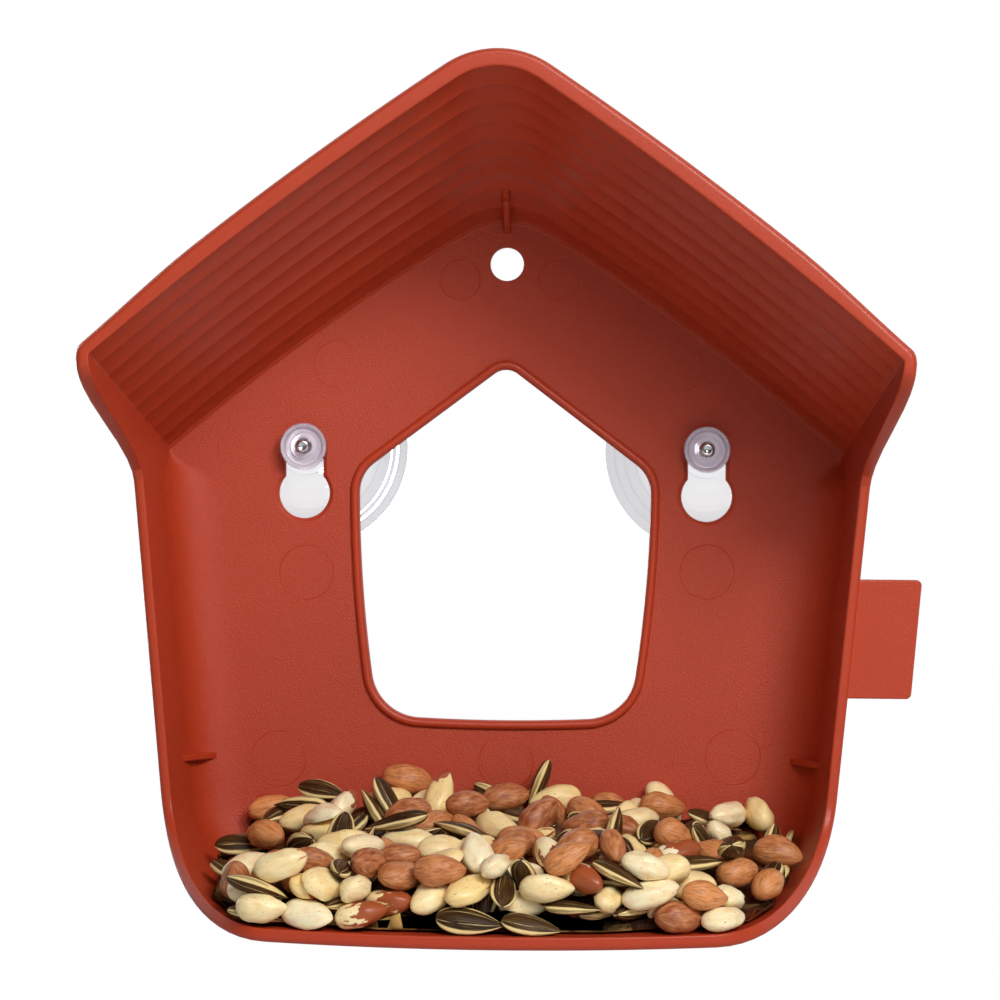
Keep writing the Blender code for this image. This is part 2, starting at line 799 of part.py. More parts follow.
def turned_object(name, rings, x, material, ring_shaped=False):
    if ring_shaped:
        mesh = mesh_from_rings(name, rings + [rings[0]], closed_ends=False)
    else:
        mesh = mesh_from_rings(name, rings, closed_ends=False)
    thing = new_object(name, mesh, material)
    thing.location = (x, 0, 0)
    smooth(mesh)
    return thing


def make_fixings(clear, steel_material):
    for side, x in (("left", -CUP_SPACING / 2), ("right", CUP_SPACING / 2)):
        turned_object("suction_cup_" + side,
                      turned_rings(cup_profile(), CUP_SIDES), x, clear)
        turned_object("screw_" + side,
                      turned_rings(screw_profile(), SCREW_SIDES), x, steel_material)
        turned_object("thumb_nut_" + side,
                      turned_rings(nut_profile(), 2 * NUT_TEETH, knurl), x, clear,
                      ring_shaped=True)


# Seeds: a bed of feed in the tray, with loose kernels lying on it
def fillet_inset(radius, rise):
    """How far a faceted fillet stands out from the wall at this rise from the panel."""
    for step in range(FILLET_STEPS):
        low = math.pi / 2 * step / FILLET_STEPS
        high = math.pi / 2 * (step + 1) / FILLET_STEPS
        start = radius * (1 - math.cos(low))
        end = radius * (1 - math.cos(high))
        if start <= rise < end:
            share = (rise - start) / (end - start)
            return radius * mix(1 - math.sin(low), 1 - math.sin(high), share)
    return 0


def cavity_outline(depth):
    """The outline of the house's inner surface at one depth, with its fillet to the panel."""
    points = house_section(depth)
    outline = []
    for point, normal, radius in zip(points, outline_normals(points), fillet_radii()):
        inset = fillet_inset(radius, depth - PANEL_WALL)
        outline.append((point[0] - normal[0] * inset, point[1] - normal[1] * inset))
    return outline


def floor_height(outline, x):
    """Height of the lower side of this outline at x."""
    heights = []
    for start, end in zip(outline, outline[1:] + outline[:1]):
        span = end[0] - start[0]
        if span and min(start[0], end[0]) <= x <= max(start[0], end[0]):
            heights.append(mix(start[1], end[1], (x - start[0]) / span))
    return min(heights)


def lump(x, depth):
    across = math.sin(2 * math.pi * x / BED_LUMP_PITCH)
    along = math.cos(2 * math.pi * depth / BED_LUMP_PITCH + x / BED_LUMP_PITCH)
    return BED_LUMP * across * along


def bed_limits():
    start = PANEL_WALL + SEED_GAP
    end = DEPTH - BED_FRONT_EDGE
    return start, end


def bed_half_width(depth):
    """Half of the bed's width: it ends short of the walls, and of the rim where that runs in."""
    start, end = bed_limits()
    depth = min(end, max(start, depth))
    half = house_corners(depth)[2][0] - BED_SIDE_EDGE
    section = house_section(depth)
    inside = [point[0] for point, rim in zip(section, rim_depths())
              if rim >= depth + BED_FRONT_EDGE / 2 and point[1] < FLOOR_BACK_Z + BED_BACK_RISE]
    return min(half, max(inside))


def bed_top(x, depth):
    """Height of the bed's top: it slopes from the panel down to the front edge."""
    start, end = bed_limits()
    share = min(1, max(0, (depth - start) / (end - start)))
    rise = mix(BED_BACK_RISE, BED_FRONT_RISE, share)
    base = mix(FLOOR_BACK_Z, FLOOR_FRONT_Z, depth_share(depth))
    side = min(1, abs(x) / bed_half_width(depth))
    droop = BED_EDGE_DROP * side * side
    return base + rise - droop + lump(x, depth)


def bed_mesh():
    start, end = bed_limits()
    rings = []
    for row in range(BED_ROWS + 1):
        depth = mix(start, end, row / BED_ROWS)
        outline = cavity_outline(depth)
        half = bed_half_width(depth)
        top = []
        foot = []
        for column in range(BED_COLUMNS + 1):
            x = mix(-half, half, column / BED_COLUMNS)
            ground = floor_height(outline, x) + SEED_GAP
            crown = max(bed_top(x, depth), ground + SEED_GAP)
            top.append((x, -STANDOFF - depth, crown))
            foot.append((x, -STANDOFF - depth, ground))
        foot.reverse()
        rings.append(top + foot)
    return mesh_from_rings("seed_bed", rings, triangles=True)


def kernel_shape(sort):
    """Cross-section scale and lift along the kernel, as shares of its half-length."""
    points = []
    for ring in range(KERNEL_RINGS + 1):
        angle = math.pi * ring / KERNEL_RINGS
        along = -math.cos(angle)
        girth = math.sin(angle) * (1 - KERNEL_TAPER_SHARES[sort] * along)
        points.append((along, girth))
    return points


def kernel_mesh(name, sort, size):
    """A plump seed along its own X axis."""
    mesh = bpy.data.meshes.new(name)
    work = bmesh.new()
    rows = []
    for along, girth in kernel_shape(sort):
        row = []
        if girth < GAP:
            row.append(work.verts.new((along * size[0] / 2, 0, 0)))
        else:
            for index in range(KERNEL_SIDES):
                angle = 2 * math.pi * index / KERNEL_SIDES
                row.append(work.verts.new((along * size[0] / 2,
                                           girth * math.cos(angle) * size[1] / 2,
                                           girth * math.sin(angle) * size[2] / 2)))
        rows.append(row)
    for row, following in zip(rows, rows[1:]):
        for index in range(KERNEL_SIDES):
            after = (index + 1) % KERNEL_SIDES
            if len(row) == 1:
                work.faces.new((row[0], following[index], following[after]))
            elif len(following) == 1:
                work.faces.new((row[index], following[0], row[after]))
            else:
                work.faces.new((row[index], following[index], following[after], row[after]))
    bmesh.ops.recalc_face_normals(work, faces=work.faces)
    work.to_mesh(mesh)
    work.free()
    return mesh


def kernel_place(x, depth, heading):
    """Where a kernel lies along the bed's slope, with its middle at the bed's top."""
    side = bed_top(x + KERNEL_PROBE, depth) - bed_top(x - KERNEL_PROBE, depth)
    ahead = bed_top(x, depth - KERNEL_PROBE) - bed_top(x, depth + KERNEL_PROBE)
    rise_x = side / (2 * KERNEL_PROBE)
    rise_y = ahead / (2 * KERNEL_PROBE)
    up = Vector((-rise_x, -rise_y, 1)).normalized()
    ahead = Vector((math.cos(heading), math.sin(heading), 0))
    ahead = (ahead - up * ahead.dot(up)).normalized()
    turn = Matrix((ahead, up.cross(ahead), up)).transposed().to_4x4()
    return Matrix.Translation((x, -STANDOFF - depth, bed_top(x, depth))) @ turn


def probed(mesh, place):
    """Points all over a mesh in its place, and a tree of its faces."""
    points = [place @ vertex.co for vertex in mesh.vertices]
    tree = BVHTree.FromPolygons(points, [tuple(face.vertices) for face in mesh.polygons])
    edges = [(points[edge.vertices[0]] + points[edge.vertices[1]]) / 2 for edge in mesh.edges]
    middles = [place @ face.center for face in mesh.polygons]
    return points + edges + middles, tree


def clearing_lift(upper, lower):
    """How far the upper solid has to rise to clear the lower one."""
    rise = Vector((0, 0, 1))
    lift = 0
    for point in upper[0]:
        ground = lower[1].ray_cast(point + rise * DEPTH, -rise)[0]
        if ground:
            lift = max(lift, ground.z + KERNEL_GAP - point.z)
    for point in lower[0]:
        under = upper[1].ray_cast(point - rise * DEPTH, rise)[0]
        if under:
            lift = max(lift, point.z + KERNEL_GAP - under.z)
    return lift


def lay_kernel(thing, x, depth, heading, laid):
    """Turns a kernel to where it lies lowest, just clear of the bed and the kernels below."""
    tries = []
    for step in range(HEADING_TRIES):
        base = kernel_place(x, depth, heading + math.pi * step / HEADING_TRIES)
        upper = probed(thing.data, base)
        tries.append((max(clearing_lift(upper, lower) for lower in laid), step, base))
    lift, step, base = min(tries)
    thing.matrix_world = Matrix.Translation((0, 0, lift)) @ base
    laid.append(probed(thing.data, thing.matrix_world))


def kernel_spots():
    """Where the loose kernels lie: in rows, every other one set over by half a pitch."""
    start, end = bed_limits()
    spots = []
    for row in range(KERNEL_ROWS):
        count = KERNEL_COLUMNS - row % 2
        for column in range(count):
            number = row * KERNEL_COLUMNS + column
            depth = mix(start + KERNEL_BACK, end - KERNEL_FRONT, row / (KERNEL_ROWS - 1))
            depth += KERNEL_STRAY * math.cos(STRAY_TURNS_SHARES[1] * number)
            reach = (bed_half_width(depth) - KERNEL_SIDE) * (count - 1) / (KERNEL_COLUMNS - 1)
            x = mix(-reach, reach, column / (count - 1))
            x += KERNEL_STRAY * math.sin(STRAY_TURNS_SHARES[0] * number)
            spots.append((row, column, number, x, depth))
    return spots


def make_feed(bed_material, materials):
    bed = new_object("seed_bed", bed_mesh(), bed_material)
    smooth(bed.data)
    laid = [probed(bed.data, bed.matrix_world)]
    sorts = (("sunflower_seed", SUNFLOWER_SIZE), ("peanut", PEANUT_SIZE),
             ("blanched_peanut", BLANCHED_SIZE))
    counts = {name: 0 for name, size in sorts}
    for row, column, number, x, depth in kernel_spots():
        sort, size = sorts[(2 * row + column) % len(sorts)]
        counts[sort] += 1
        name = sort + "_" + str(counts[sort])
        heading = HEADING_SHARE * math.sin(STRAY_TURNS_SHARES[2] * number + 1)
        thing = new_object(name, kernel_mesh(name, sort, size), materials[sort])
        lay_kernel(thing, x, depth, heading, laid)
        smooth(thing.data)


def main():
    for thing in list(bpy.data.objects):
        bpy.data.objects.remove(thing, do_unlink=True)
    terracotta = plastic("terracotta_polypropylene", TERRACOTTA, SATIN_SHARE)
    clear = plastic("clear_vinyl", CLEAR_VINYL, POLISHED_SHARE, CLEAR_SHARE)
    bright = steel("zinc_plated_steel", ZINC, BRIGHT_SHARE)
    husk = plastic("striped_husk", HUSK, DULL_SHARE)
    skin = plastic("peanut_skin", PEANUT_SKIN, DULL_SHARE)
    flesh = plastic("blanched_flesh", FLESH, DULL_SHARE)
    mixed = plastic("mixed_feed", FEED, DULL_SHARE)
    make_house(terracotta)
    make_fixings(clear, bright)
    make_feed(mixed, {"sunflower_seed": husk, "peanut": skin, "blanched_peanut": flesh})


main()
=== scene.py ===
# Window bird feeder: the looks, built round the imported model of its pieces.
# X runs to the right, Z up and Y towards the window pane, which is the plane Y = 0.
import math
import random

import bmesh
import bpy
import numpy as np
from bpy.props import FloatProperty, FloatVectorProperty, IntProperty, PointerProperty
from mathutils import Matrix, Vector, noise
from mathutils.bvhtree import BVHTree


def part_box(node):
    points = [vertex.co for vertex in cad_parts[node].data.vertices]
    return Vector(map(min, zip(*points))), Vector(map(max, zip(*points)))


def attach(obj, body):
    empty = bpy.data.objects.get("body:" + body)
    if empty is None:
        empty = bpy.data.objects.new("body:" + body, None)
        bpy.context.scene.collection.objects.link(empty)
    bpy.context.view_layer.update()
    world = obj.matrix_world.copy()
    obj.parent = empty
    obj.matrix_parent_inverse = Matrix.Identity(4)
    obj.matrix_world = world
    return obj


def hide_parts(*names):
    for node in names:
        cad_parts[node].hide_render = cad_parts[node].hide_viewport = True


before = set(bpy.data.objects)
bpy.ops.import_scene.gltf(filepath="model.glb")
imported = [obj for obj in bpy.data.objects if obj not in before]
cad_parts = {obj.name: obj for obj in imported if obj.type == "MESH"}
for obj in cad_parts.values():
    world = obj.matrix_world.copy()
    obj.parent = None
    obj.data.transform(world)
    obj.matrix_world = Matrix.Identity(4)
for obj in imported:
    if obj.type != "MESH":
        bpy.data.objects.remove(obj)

bl_info = {
    "name": "Window bird feeder",
    "version": (1, 0, 0),
    "blender": (4, 5, 0),
    "location": "View3D > Sidebar > Bird feeder",
    "description": "A moulded house on two suction cups, filled with seeds and peanuts",
    "category": "Add Mesh",
}

MM = 0.001
PICTURE = 1000

# House: depths from the panel's back face towards the room, as in the frame
STANDOFF = 15.0 * MM
DEPTH = 95.0 * MM
PANEL_WALL = 2.4 * MM
BACK_WALL = 2.6 * MM
RIM_WALL = 3.6 * MM
ROOF_RIM_EXTRA = 1.3 * MM
ROOF_RIM_RUN = 30.0 * MM

# House: the inner outline at the panel and at the front
APEX_BACK_Z = 66.9 * MM
APEX_FRONT_Z = 101.2 * MM
EAVE_BACK_X = 94.4 * MM
EAVE_BACK_Z = -1.0 * MM
EAVE_FRONT_X = 105.0 * MM
EAVE_FRONT_Z = 22.3 * MM
FLOOR_BACK_X = 82.1 * MM
FLOOR_BACK_Z = -123.0 * MM
FLOOR_FRONT_X = 91.7 * MM
FLOOR_FRONT_Z = -124.5 * MM
APEX_BACK_R = 23.4 * MM
APEX_FRONT_R = 19.7 * MM
EAVE_R = 1.4 * MM
CORNER_BACK_R = 30.6 * MM
CORNER_FRONT_R = 38.3 * MM
ROOF_BACK_BOW = 2.65 * MM
ROOF_FRONT_BOW = 2.2 * MM
FLOOR_BOW = 2.4 * MM

# House: fillets, rim and roof courses
ROOF_FILLET = 0.8 * MM
WALL_FILLET = 12.0 * MM
FILLET_RUN = 12.0 * MM
RIM_OUTER_R = 1.8 * MM
RIM_INNER_R = 0.5 * MM
SETBACK = 55.0 * MM
CUT_TOP_Z = 20.2 * MM
CUT_TOP_RUN = 30.0 * MM
CUT_FOOT_Z = -127.0 * MM
CUT_FOOT_RUN = 31.3 * MM
COURSES = 9
COURSE_DEPTH = 0.6 * MM
SEAM_SHARES = (1.0, 1.0, 0.95, 0.8, 0.55, 0.3, 0.1)

# Window and its bead
CUP_SPACING = 112.6 * MM
KEYHOLE_LAND = 15.6 * MM
WINDOW_TOP_Z = 23.3 * MM
WINDOW_SHOULDER_Z = -7.4 * MM
WINDOW_TAPER = 5.7 * MM
WINDOW_FOOT_Z = -74.8 * MM
WINDOW_TOP_R = 5.3 * MM
WINDOW_SHOULDER_R = 10.0 * MM
WINDOW_FOOT_R = 14.5 * MM
WINDOW_SIDE_BOW = 1.5 * MM
WINDOW_FOOT_BOW = 1.3 * MM
BEAD_WIDTH = 2.6 * MM
BEAD_HEIGHT = 1.5 * MM

# Holes in the panel, with the rounding of their edge on the room side
HOLE_R = 4.65 * MM
HOLE_Z = 51.5 * MM
SLOT_R = 5.2 * MM
KEY_R = 7.0 * MM
KEY_LIFT = 13.0 * MM
KEY_ROUND = 1.5 * MM
HOLE_ROUND = 0.4 * MM
OVERRUN = 1.0 * MM

# Gussets and side tag
GUSSET_WALL = 1.8 * MM
GUSSET_ROOT = 1.2 * MM
GUSSET_ROUND = 0.4 * MM
APEX_GUSSET_DEPTH = 22.0 * MM
APEX_GUSSET_DROP = 3.4 * MM
APEX_NUB_R = 1.2 * MM
APEX_NUB_SHARE = 0.3
SIDE_GUSSET_DEPTH = 18.6 * MM
SIDE_GUSSET_WIDTH = 6.5 * MM
SIDE_GUSSET_Z = -86.6 * MM
TAG_TOP_Z = -35.0 * MM
TAG_HEIGHT = 32.2 * MM
TAG_WIDTH = 16.6 * MM
TAG_LEAN = 2.8 * MM
TAG_WALL = 2.0 * MM
TAG_STEP = 1.0 * MM
TAG_CORNER_R = 1.5 * MM
TAG_ROOT = 1.6 * MM
TAG_ROUND = 0.5 * MM

# Round marks that the mould's ejector pins left on the panel: picture x, y and radius
PIN_MARKS_PX = ((307, 572, 27), (707, 572, 27), (279, 758, 27.5), (733, 757, 27.5),
                (506, 762, 27.5), (338.5, 364, 24), (679.4, 368.3, 24), (460.4, 279.8, 20),
                (558.7, 280.5, 20))
MARK_RISE = 0.12 * MM
MARK_SINK = 0.3 * MM
MARK_SPREAD = 0.55 * MM

# Leather grain: where it starts to fade on a fillet, what it loses there, and what beads keep
GRAIN_START = 0.6
GRAIN_FADE = 0.72
BEAD_GRAIN = 0.3

# Steps along each side and corner of the house's outline, and across its depth
APEX_STEPS = 10
ROOF_STEPS = 22
EAVE_STEPS = 8
WALL_STEPS = 34
WALL_CROWDING = 1.7
CORNER_STEPS = 18
FLOOR_STEPS = 10
SIDE_STEPS = [ROOF_STEPS, WALL_STEPS, 2 * FLOOR_STEPS, WALL_STEPS, ROOF_STEPS]
TURN_STEPS = [2 * APEX_STEPS, EAVE_STEPS, CORNER_STEPS, CORNER_STEPS, EAVE_STEPS]
SECTION_LEVELS = 95
SETTLING_TURNS = 12
FILLET_STEPS = 8
SOFT_STEPS = 14
SOFT_REACH = 1.25
RIM_STEPS = 7
COURSE_STEPS = 10
BEAD_STEPS = 12
PANEL_SHARES = (0.01, 0.1, 0.3, 0.5, 0.7, 0.9, 0.99)
KEY_STEPS = 28
ROUND_STEPS = 6
GUSSET_STEPS = 10
MARK_SIDES = 72
SHARP_ANGLE = math.radians(20)
WELD = 0.003 * MM

# Suction cups, as turned profiles
CUP_R = 28.5 * MM
CUP_LIP = 0.9 * MM
CUP_LIP_WIDTH = 3.0 * MM
CUP_STEP = 1.6 * MM
CUP_WALL = 2.2 * MM
CUP_HOLLOW = 4.2 * MM
CUP_SHOULDER_R = 12.0 * MM
CUP_SHOULDER_RISE = 8.0 * MM
NECK_R = 7.9 * MM
BOSS_R = 4.9 * MM
GAP = 0.3 * MM
CUP_SIDES = 144
HOLLOW_STEPS = 16
EDGE_ROUND = 0.35 * MM

# Screws and thumb nuts
SCREW_R = 2.0 * MM
SCREW_HEAD_R = 4.2 * MM
SCREW_HEAD = 1.8 * MM
SCREW_SEAT = 2.0 * MM
THREAD_PITCH = 0.7 * MM
THREAD_DEPTH = 0.3 * MM
SCREW_SIDES = 48
THREAD_STEPS = 12
NUT_R = 6.7 * MM
NUT_DEPTH = 5.0 * MM
NUT_TOOTH = 0.5 * MM
NUT_EDGE = 0.15 * MM
NUT_RIM = 1.3 * MM
NUT_DISH = 1.4 * MM
NUT_HUB_R = 3.6 * MM
NUT_HUB_RISE = 0.9 * MM
NUT_LEAD = 0.4 * MM
NUT_ROUND = 0.2 * MM
NUT_SIDE_STEPS = 6
TURNED_ANGLE = math.radians(50)

# Kernels: length, width and thickness of each sort
KERNEL_SIZES = {
    "sunflower_seed": (18.0 * MM, 7.6 * MM, 4.4 * MM),
    "peanut": (14.0 * MM, 8.8 * MM, 8.2 * MM),
    "blanched_peanut": (15.0 * MM, 8.8 * MM, 7.4 * MM),
}
KERNEL_SIDES = 26
KERNEL_RINGS = 20
KERNEL_ANGLE = math.radians(60)

# Camera: it stands about a metre in front of the rim, level with the keyholes' feet
FOCAL_PX = 4086
SENSOR = 36
CAMERA_DISTANCE = 1.05
CAMERA_TURN = 0.0329
CAMERA_ROLL = 0.00925
CAMERA_SHIFT_PX = (6.48, -0.2)
CAMERA_TARGET = (0.0, -0.110, -0.0144)

# Sockets of the Mix node in its colour form
MIX_FACTOR = 0
MIX_A = 6
MIX_B = 7
MIX_RESULT = 2


# Plane geometry
def mix(a, b, share):
    return a + (b - a) * share


def unit(vector):
    length = math.hypot(vector[0], vector[1])
    return (vector[0] / length, vector[1] / length)


def distance(a, b):
    return math.hypot(b[0] - a[0], b[1] - a[1])


def ease(share):
    share = min(1, max(0, share))
    return share * share * (3 - 2 * share)


def side_point(start, end, bow, share):
    """A point on the side from start to end, which bows out to the left of its direction."""
    along = unit((end[0] - start[0], end[1] - start[1]))
    push = 4 * bow * share * (1 - share)
    return (mix(start[0], end[0], share) - along[1] * push,
            mix(start[1], end[1], share) + along[0] * push)


def side_direction(start, end, bow, share):
    along = (end[0] - start[0], end[1] - start[1])
    length = math.hypot(along[0], along[1])
    slope = 4 * bow * (1 - 2 * share) / length
    return unit((along[0] - along[1] * slope, along[1] + along[0] * slope))


def corner_reach(radius, before, after):
    """How far a rounding of this radius reaches along each side of a corner."""
    turn = math.acos(max(-1, min(1, before[0] * after[0] + before[1] * after[1])))
    return radius * math.tan(turn / 2), turn


def corner_curve(first, before, last, after, turn, steps):
    """Points of a round corner from first to last, tangent to both sides."""
    handle = distance(first, last) * (2 / 3) / (1 + math.cos(turn / 2))
    hold_a = (first[0] + before[0] * handle, first[1] + before[1] * handle)
    hold_b = (last[0] - after[0] * handle, last[1] - after[1] * handle)
    points = []
    for step in range(steps + 1):
        t = step / steps
        s = 1 - t
        weights = (s * s * s, 3 * s * s * t, 3 * s * t * t, t * t * t)
        holds = (first, hold_a, hold_b, last)
        points.append((sum(w * h[0] for w, h in zip(weights, holds)),
                       sum(w * h[1] for w, h in zip(weights, holds))))
    return points


def rounded_outline(corners, radii, bows, crowding=None):
    """A closed outline: straight or bowed sides joined by round corners."""
    count = len(corners)
    starts = []
    ends = []
    curves = []
    for index in range(count):
        last = corners[index - 1]
        here = corners[index]
        after = corners[(index + 1) % count]
        guess_in = side_direction(last, here, bows[index - 1], 1)
        guess_out = side_direction(here, after, bows[index], 0)
        reach = corner_reach(radii[index], guess_in, guess_out)[0]
        share_in = 1 - reach / distance(last, here)
        share_out = reach / distance(here, after)
        heading_in = side_direction(last, here, bows[index - 1], share_in)
        heading_out = side_direction(here, after, bows[index], share_out)
        turn = corner_reach(radii[index], heading_in, heading_out)[1]
        first = side_point(last, here, bows[index - 1], share_in)
        final = side_point(here, after, bows[index], share_out)
        curves.append(corner_curve(first, heading_in, final, heading_out, turn,
                                   TURN_STEPS[index]))
        ends.append(share_in)
        starts.append(share_out)
    points = []
    for index in range(count):
        points.extend(curves[index])
        following = (index + 1) % count
        for step in range(1, SIDE_STEPS[index]):
            place = step / SIDE_STEPS[index]
            if crowding and crowding[index] > 0:
                place = place ** crowding[index]
            if crowding and crowding[index] < 0:
                place = 1 - (1 - place) ** -crowding[index]
            share = mix(starts[index], ends[following], place)
            points.append(side_point(corners[index], corners[following], bows[index], share))
    return points


def outline_normals(points):
    """Outward normals of a closed outline that runs clockwise."""
    normals = []
    for index in range(len(points)):
        before = points[index - 1]
        after = points[(index + 1) % len(points)]
        along = unit((after[0] - before[0], after[1] - before[1]))
        normals.append((-along[1], along[0]))
    return normals


def arc(centre, radius, start, end, steps):
    return [(centre[0] + radius * math.cos(mix(start, end, step / steps)),
             centre[1] + radius * math.sin(mix(start, end, step / steps)))
            for step in range(steps + 1)]


# House sections
def depth_share(depth):
    return (depth - PANEL_WALL) / (DEPTH - PANEL_WALL)


def house_corners(depth):
    """Apex, right eave, right foot, left foot and left eave of the inner outline."""
    share = depth_share(depth)
    eave_x = mix(EAVE_BACK_X, EAVE_FRONT_X, share)
    eave_z = mix(EAVE_BACK_Z, EAVE_FRONT_Z, share)
    foot_x = mix(FLOOR_BACK_X, FLOOR_FRONT_X, share)
    foot_z = mix(FLOOR_BACK_Z, FLOOR_FRONT_Z, share)
    apex = (0, mix(APEX_BACK_Z, APEX_FRONT_Z, share))
    return [apex, (eave_x, eave_z), (foot_x, foot_z), (-foot_x, foot_z), (-eave_x, eave_z)]


def house_section(depth):
    share = depth_share(depth)
    apex_r = mix(APEX_BACK_R, APEX_FRONT_R, share)
    corner_r = mix(CORNER_BACK_R, CORNER_FRONT_R, share)
    bow = mix(ROOF_BACK_BOW, ROOF_FRONT_BOW, share)
    radii = [apex_r, EAVE_R, corner_r, corner_r, EAVE_R]
    bows = [bow, 0, FLOOR_BOW, 0, bow]
    crowding = [1, WALL_CROWDING, 1, -WALL_CROWDING, 1]
    return rounded_outline(house_corners(depth), radii, bows, crowding)


def wall_at(depth, thickening=0):
    return mix(BACK_WALL, RIM_WALL + thickening, depth_share(depth))


def wall_x(height, depth):
    """The inner wall's distance from the middle at this height and depth."""
    corners = house_corners(depth)
    eave, foot = corners[1], corners[2]
    return mix(foot[0], eave[0], (height - foot[1]) / (eave[1] - foot[1]))


def setback_at(height):
    """How far the rim lies behind the front plane at this height."""
    top = ease((CUT_TOP_Z - height) / CUT_TOP_RUN)
    foot = min(1, max(0, (height - CUT_FOOT_Z) / CUT_FOOT_RUN))
    return SETBACK * top * (1 - (1 - foot) * (1 - foot))


class HouseSkin:
    """The house's inner and outer skin as columns that run from the panel to the rim."""

    def __init__(self):
        levels = [DEPTH * level / SECTION_LEVELS for level in range(SECTION_LEVELS + 1)]
        sections = [house_section(level) for level in levels]
        self.points = np.array(sections)
        self.normals = np.array([outline_normals(section) for section in sections])
        self.roof = self.roof_shares()
        self.rims = self.rim_depths()
        self.fillets = self.fillet_radii()
        self.thickening = self.roof_thickening()

    def roof_shares(self):
        """How much of a roof course each column takes: all on the roof, fading at the eaves."""
        fade = list(SEAM_SHARES) + [0] * (EAVE_STEPS + 1 - len(SEAM_SHARES))
        wall = WALL_STEPS - 1 + CORNER_STEPS + 1
        low = [0] * (2 * wall + 2 * FLOOR_STEPS - 1)
        right = [1] * (2 * APEX_STEPS + ROOF_STEPS) + fade
        left = fade[::-1] + [1] * (ROOF_STEPS - 1)
        return np.array(right + low + left, float)

    def at(self, depths):
        """Points and normals of all columns, each at its own depth."""
        place = np.clip(depths / DEPTH * SECTION_LEVELS, 0, SECTION_LEVELS)
        low = np.minimum(place.astype(int), SECTION_LEVELS - 1)
        share = (place - low)[:, None]
        column = np.arange(len(depths))
        points = self.points[low, column] * (1 - share) + self.points[low + 1, column] * share
        normals = self.normals[low, column] * (1 - share) + self.normals[low + 1, column] * share
        return points, normals / np.linalg.norm(normals, axis=1)[:, None]

    def rim_depths(self):
        depths = np.full(self.points.shape[1], DEPTH)
        for turn in range(SETTLING_TURNS):
            heights = self.at(depths)[0][:, 1]
            wanted = np.array([DEPTH - setback_at(height) for height in heights])
            depths = np.where(self.roof > 0, DEPTH, wanted)
        return depths

    def fillet_radii(self):
        heights = self.at(np.full(len(self.rims), PANEL_WALL))[0][:, 1]
        shares = [ease((EAVE_BACK_Z - height) / FILLET_RUN) for height in heights]
        return np.where(self.roof > 0, ROOF_FILLET, mix(ROOF_FILLET, WALL_FILLET, np.array(shares)))

    def roof_thickening(self):
        """What every column's wall gains at the rim: nothing at the eaves, most up the roof."""
        widths = np.abs(self.points[-1][:, 0])
        shares = [ease((EAVE_FRONT_X - width) / ROOF_RIM_RUN) for width in widths]
        return ROOF_RIM_EXTRA * np.array(shares) * (self.roof > 0)

    def wall(self, depths):
        return wall_at(depths, self.thickening)

    def ring(self, depths, offsets):
        points, normals = self.at(depths)
        flat = points + normals * offsets[:, None]
        return np.column_stack((flat[:, 0], -STANDOFF - depths, flat[:, 1]))

    def skin(self, starts, ends, outside):
        rings = []
        total = COURSES * COURSE_STEPS
        for step in range(total + 1):
            share = step / total
            even = mix(starts, self.rims - ends, share)
            course = np.clip(mix(PANEL_WALL, self.rims, share), starts, self.rims - ends)
            depths = np.where(self.roof > 0, course, even)
            place = depth_share(depths) * COURSES
            part = place - np.floor(place)
            dip = COURSE_DEPTH * 4 * part * (1 - part) * self.roof
            if step == total:
                dip = dip * 0
            rings.append(self.ring(depths, dip + (self.wall(depths) if outside else 0)))
        return rings

    def fillet(self, radii, level):
        """Rings of the round outer fillet between the panel's back and the walls."""
        rings = []
        for step in range(FILLET_STEPS):
            angle = math.pi / 2 * step / FILLET_STEPS
            depths = level + radii * (1 - math.cos(angle))
            rings.append(self.ring(depths, self.wall(depths) - radii * (1 - math.sin(angle))))
        return rings

    def soft_fillet(self, reaches, level):
        """Rings of the inner fillet, whose curvature grows and fades without a step."""
        turns = [math.pi / 2 * ease((step + 0.5) / SOFT_STEPS) for step in range(SOFT_STEPS)]
        total = sum(math.sin(turn) for turn in turns)
        rings = []
        rise = 0
        along = 0
        for turn in turns:
            rings.append(self.ring(level + reaches * rise, reaches * (along - 1)))
            rise += math.sin(turn) / total
            along += math.cos(turn) / total
        return rings

    def rim(self):
        rings = []
        for step in range(1, RIM_STEPS + 1):
            angle = math.pi / 2 * step / RIM_STEPS
            depths = self.rims - RIM_OUTER_R * (1 - math.sin(angle))
            cut = RIM_OUTER_R * (1 - math.cos(angle))
            rings.append(self.ring(depths, self.wall(depths) - cut))
        for step in range(RIM_STEPS):
            angle = math.pi / 2 * step / RIM_STEPS
            depths = self.rims - RIM_INNER_R * (1 - math.cos(angle))
            rings.append(self.ring(depths, depths * 0 + RIM_INNER_R * (1 - math.sin(angle))))
        return rings

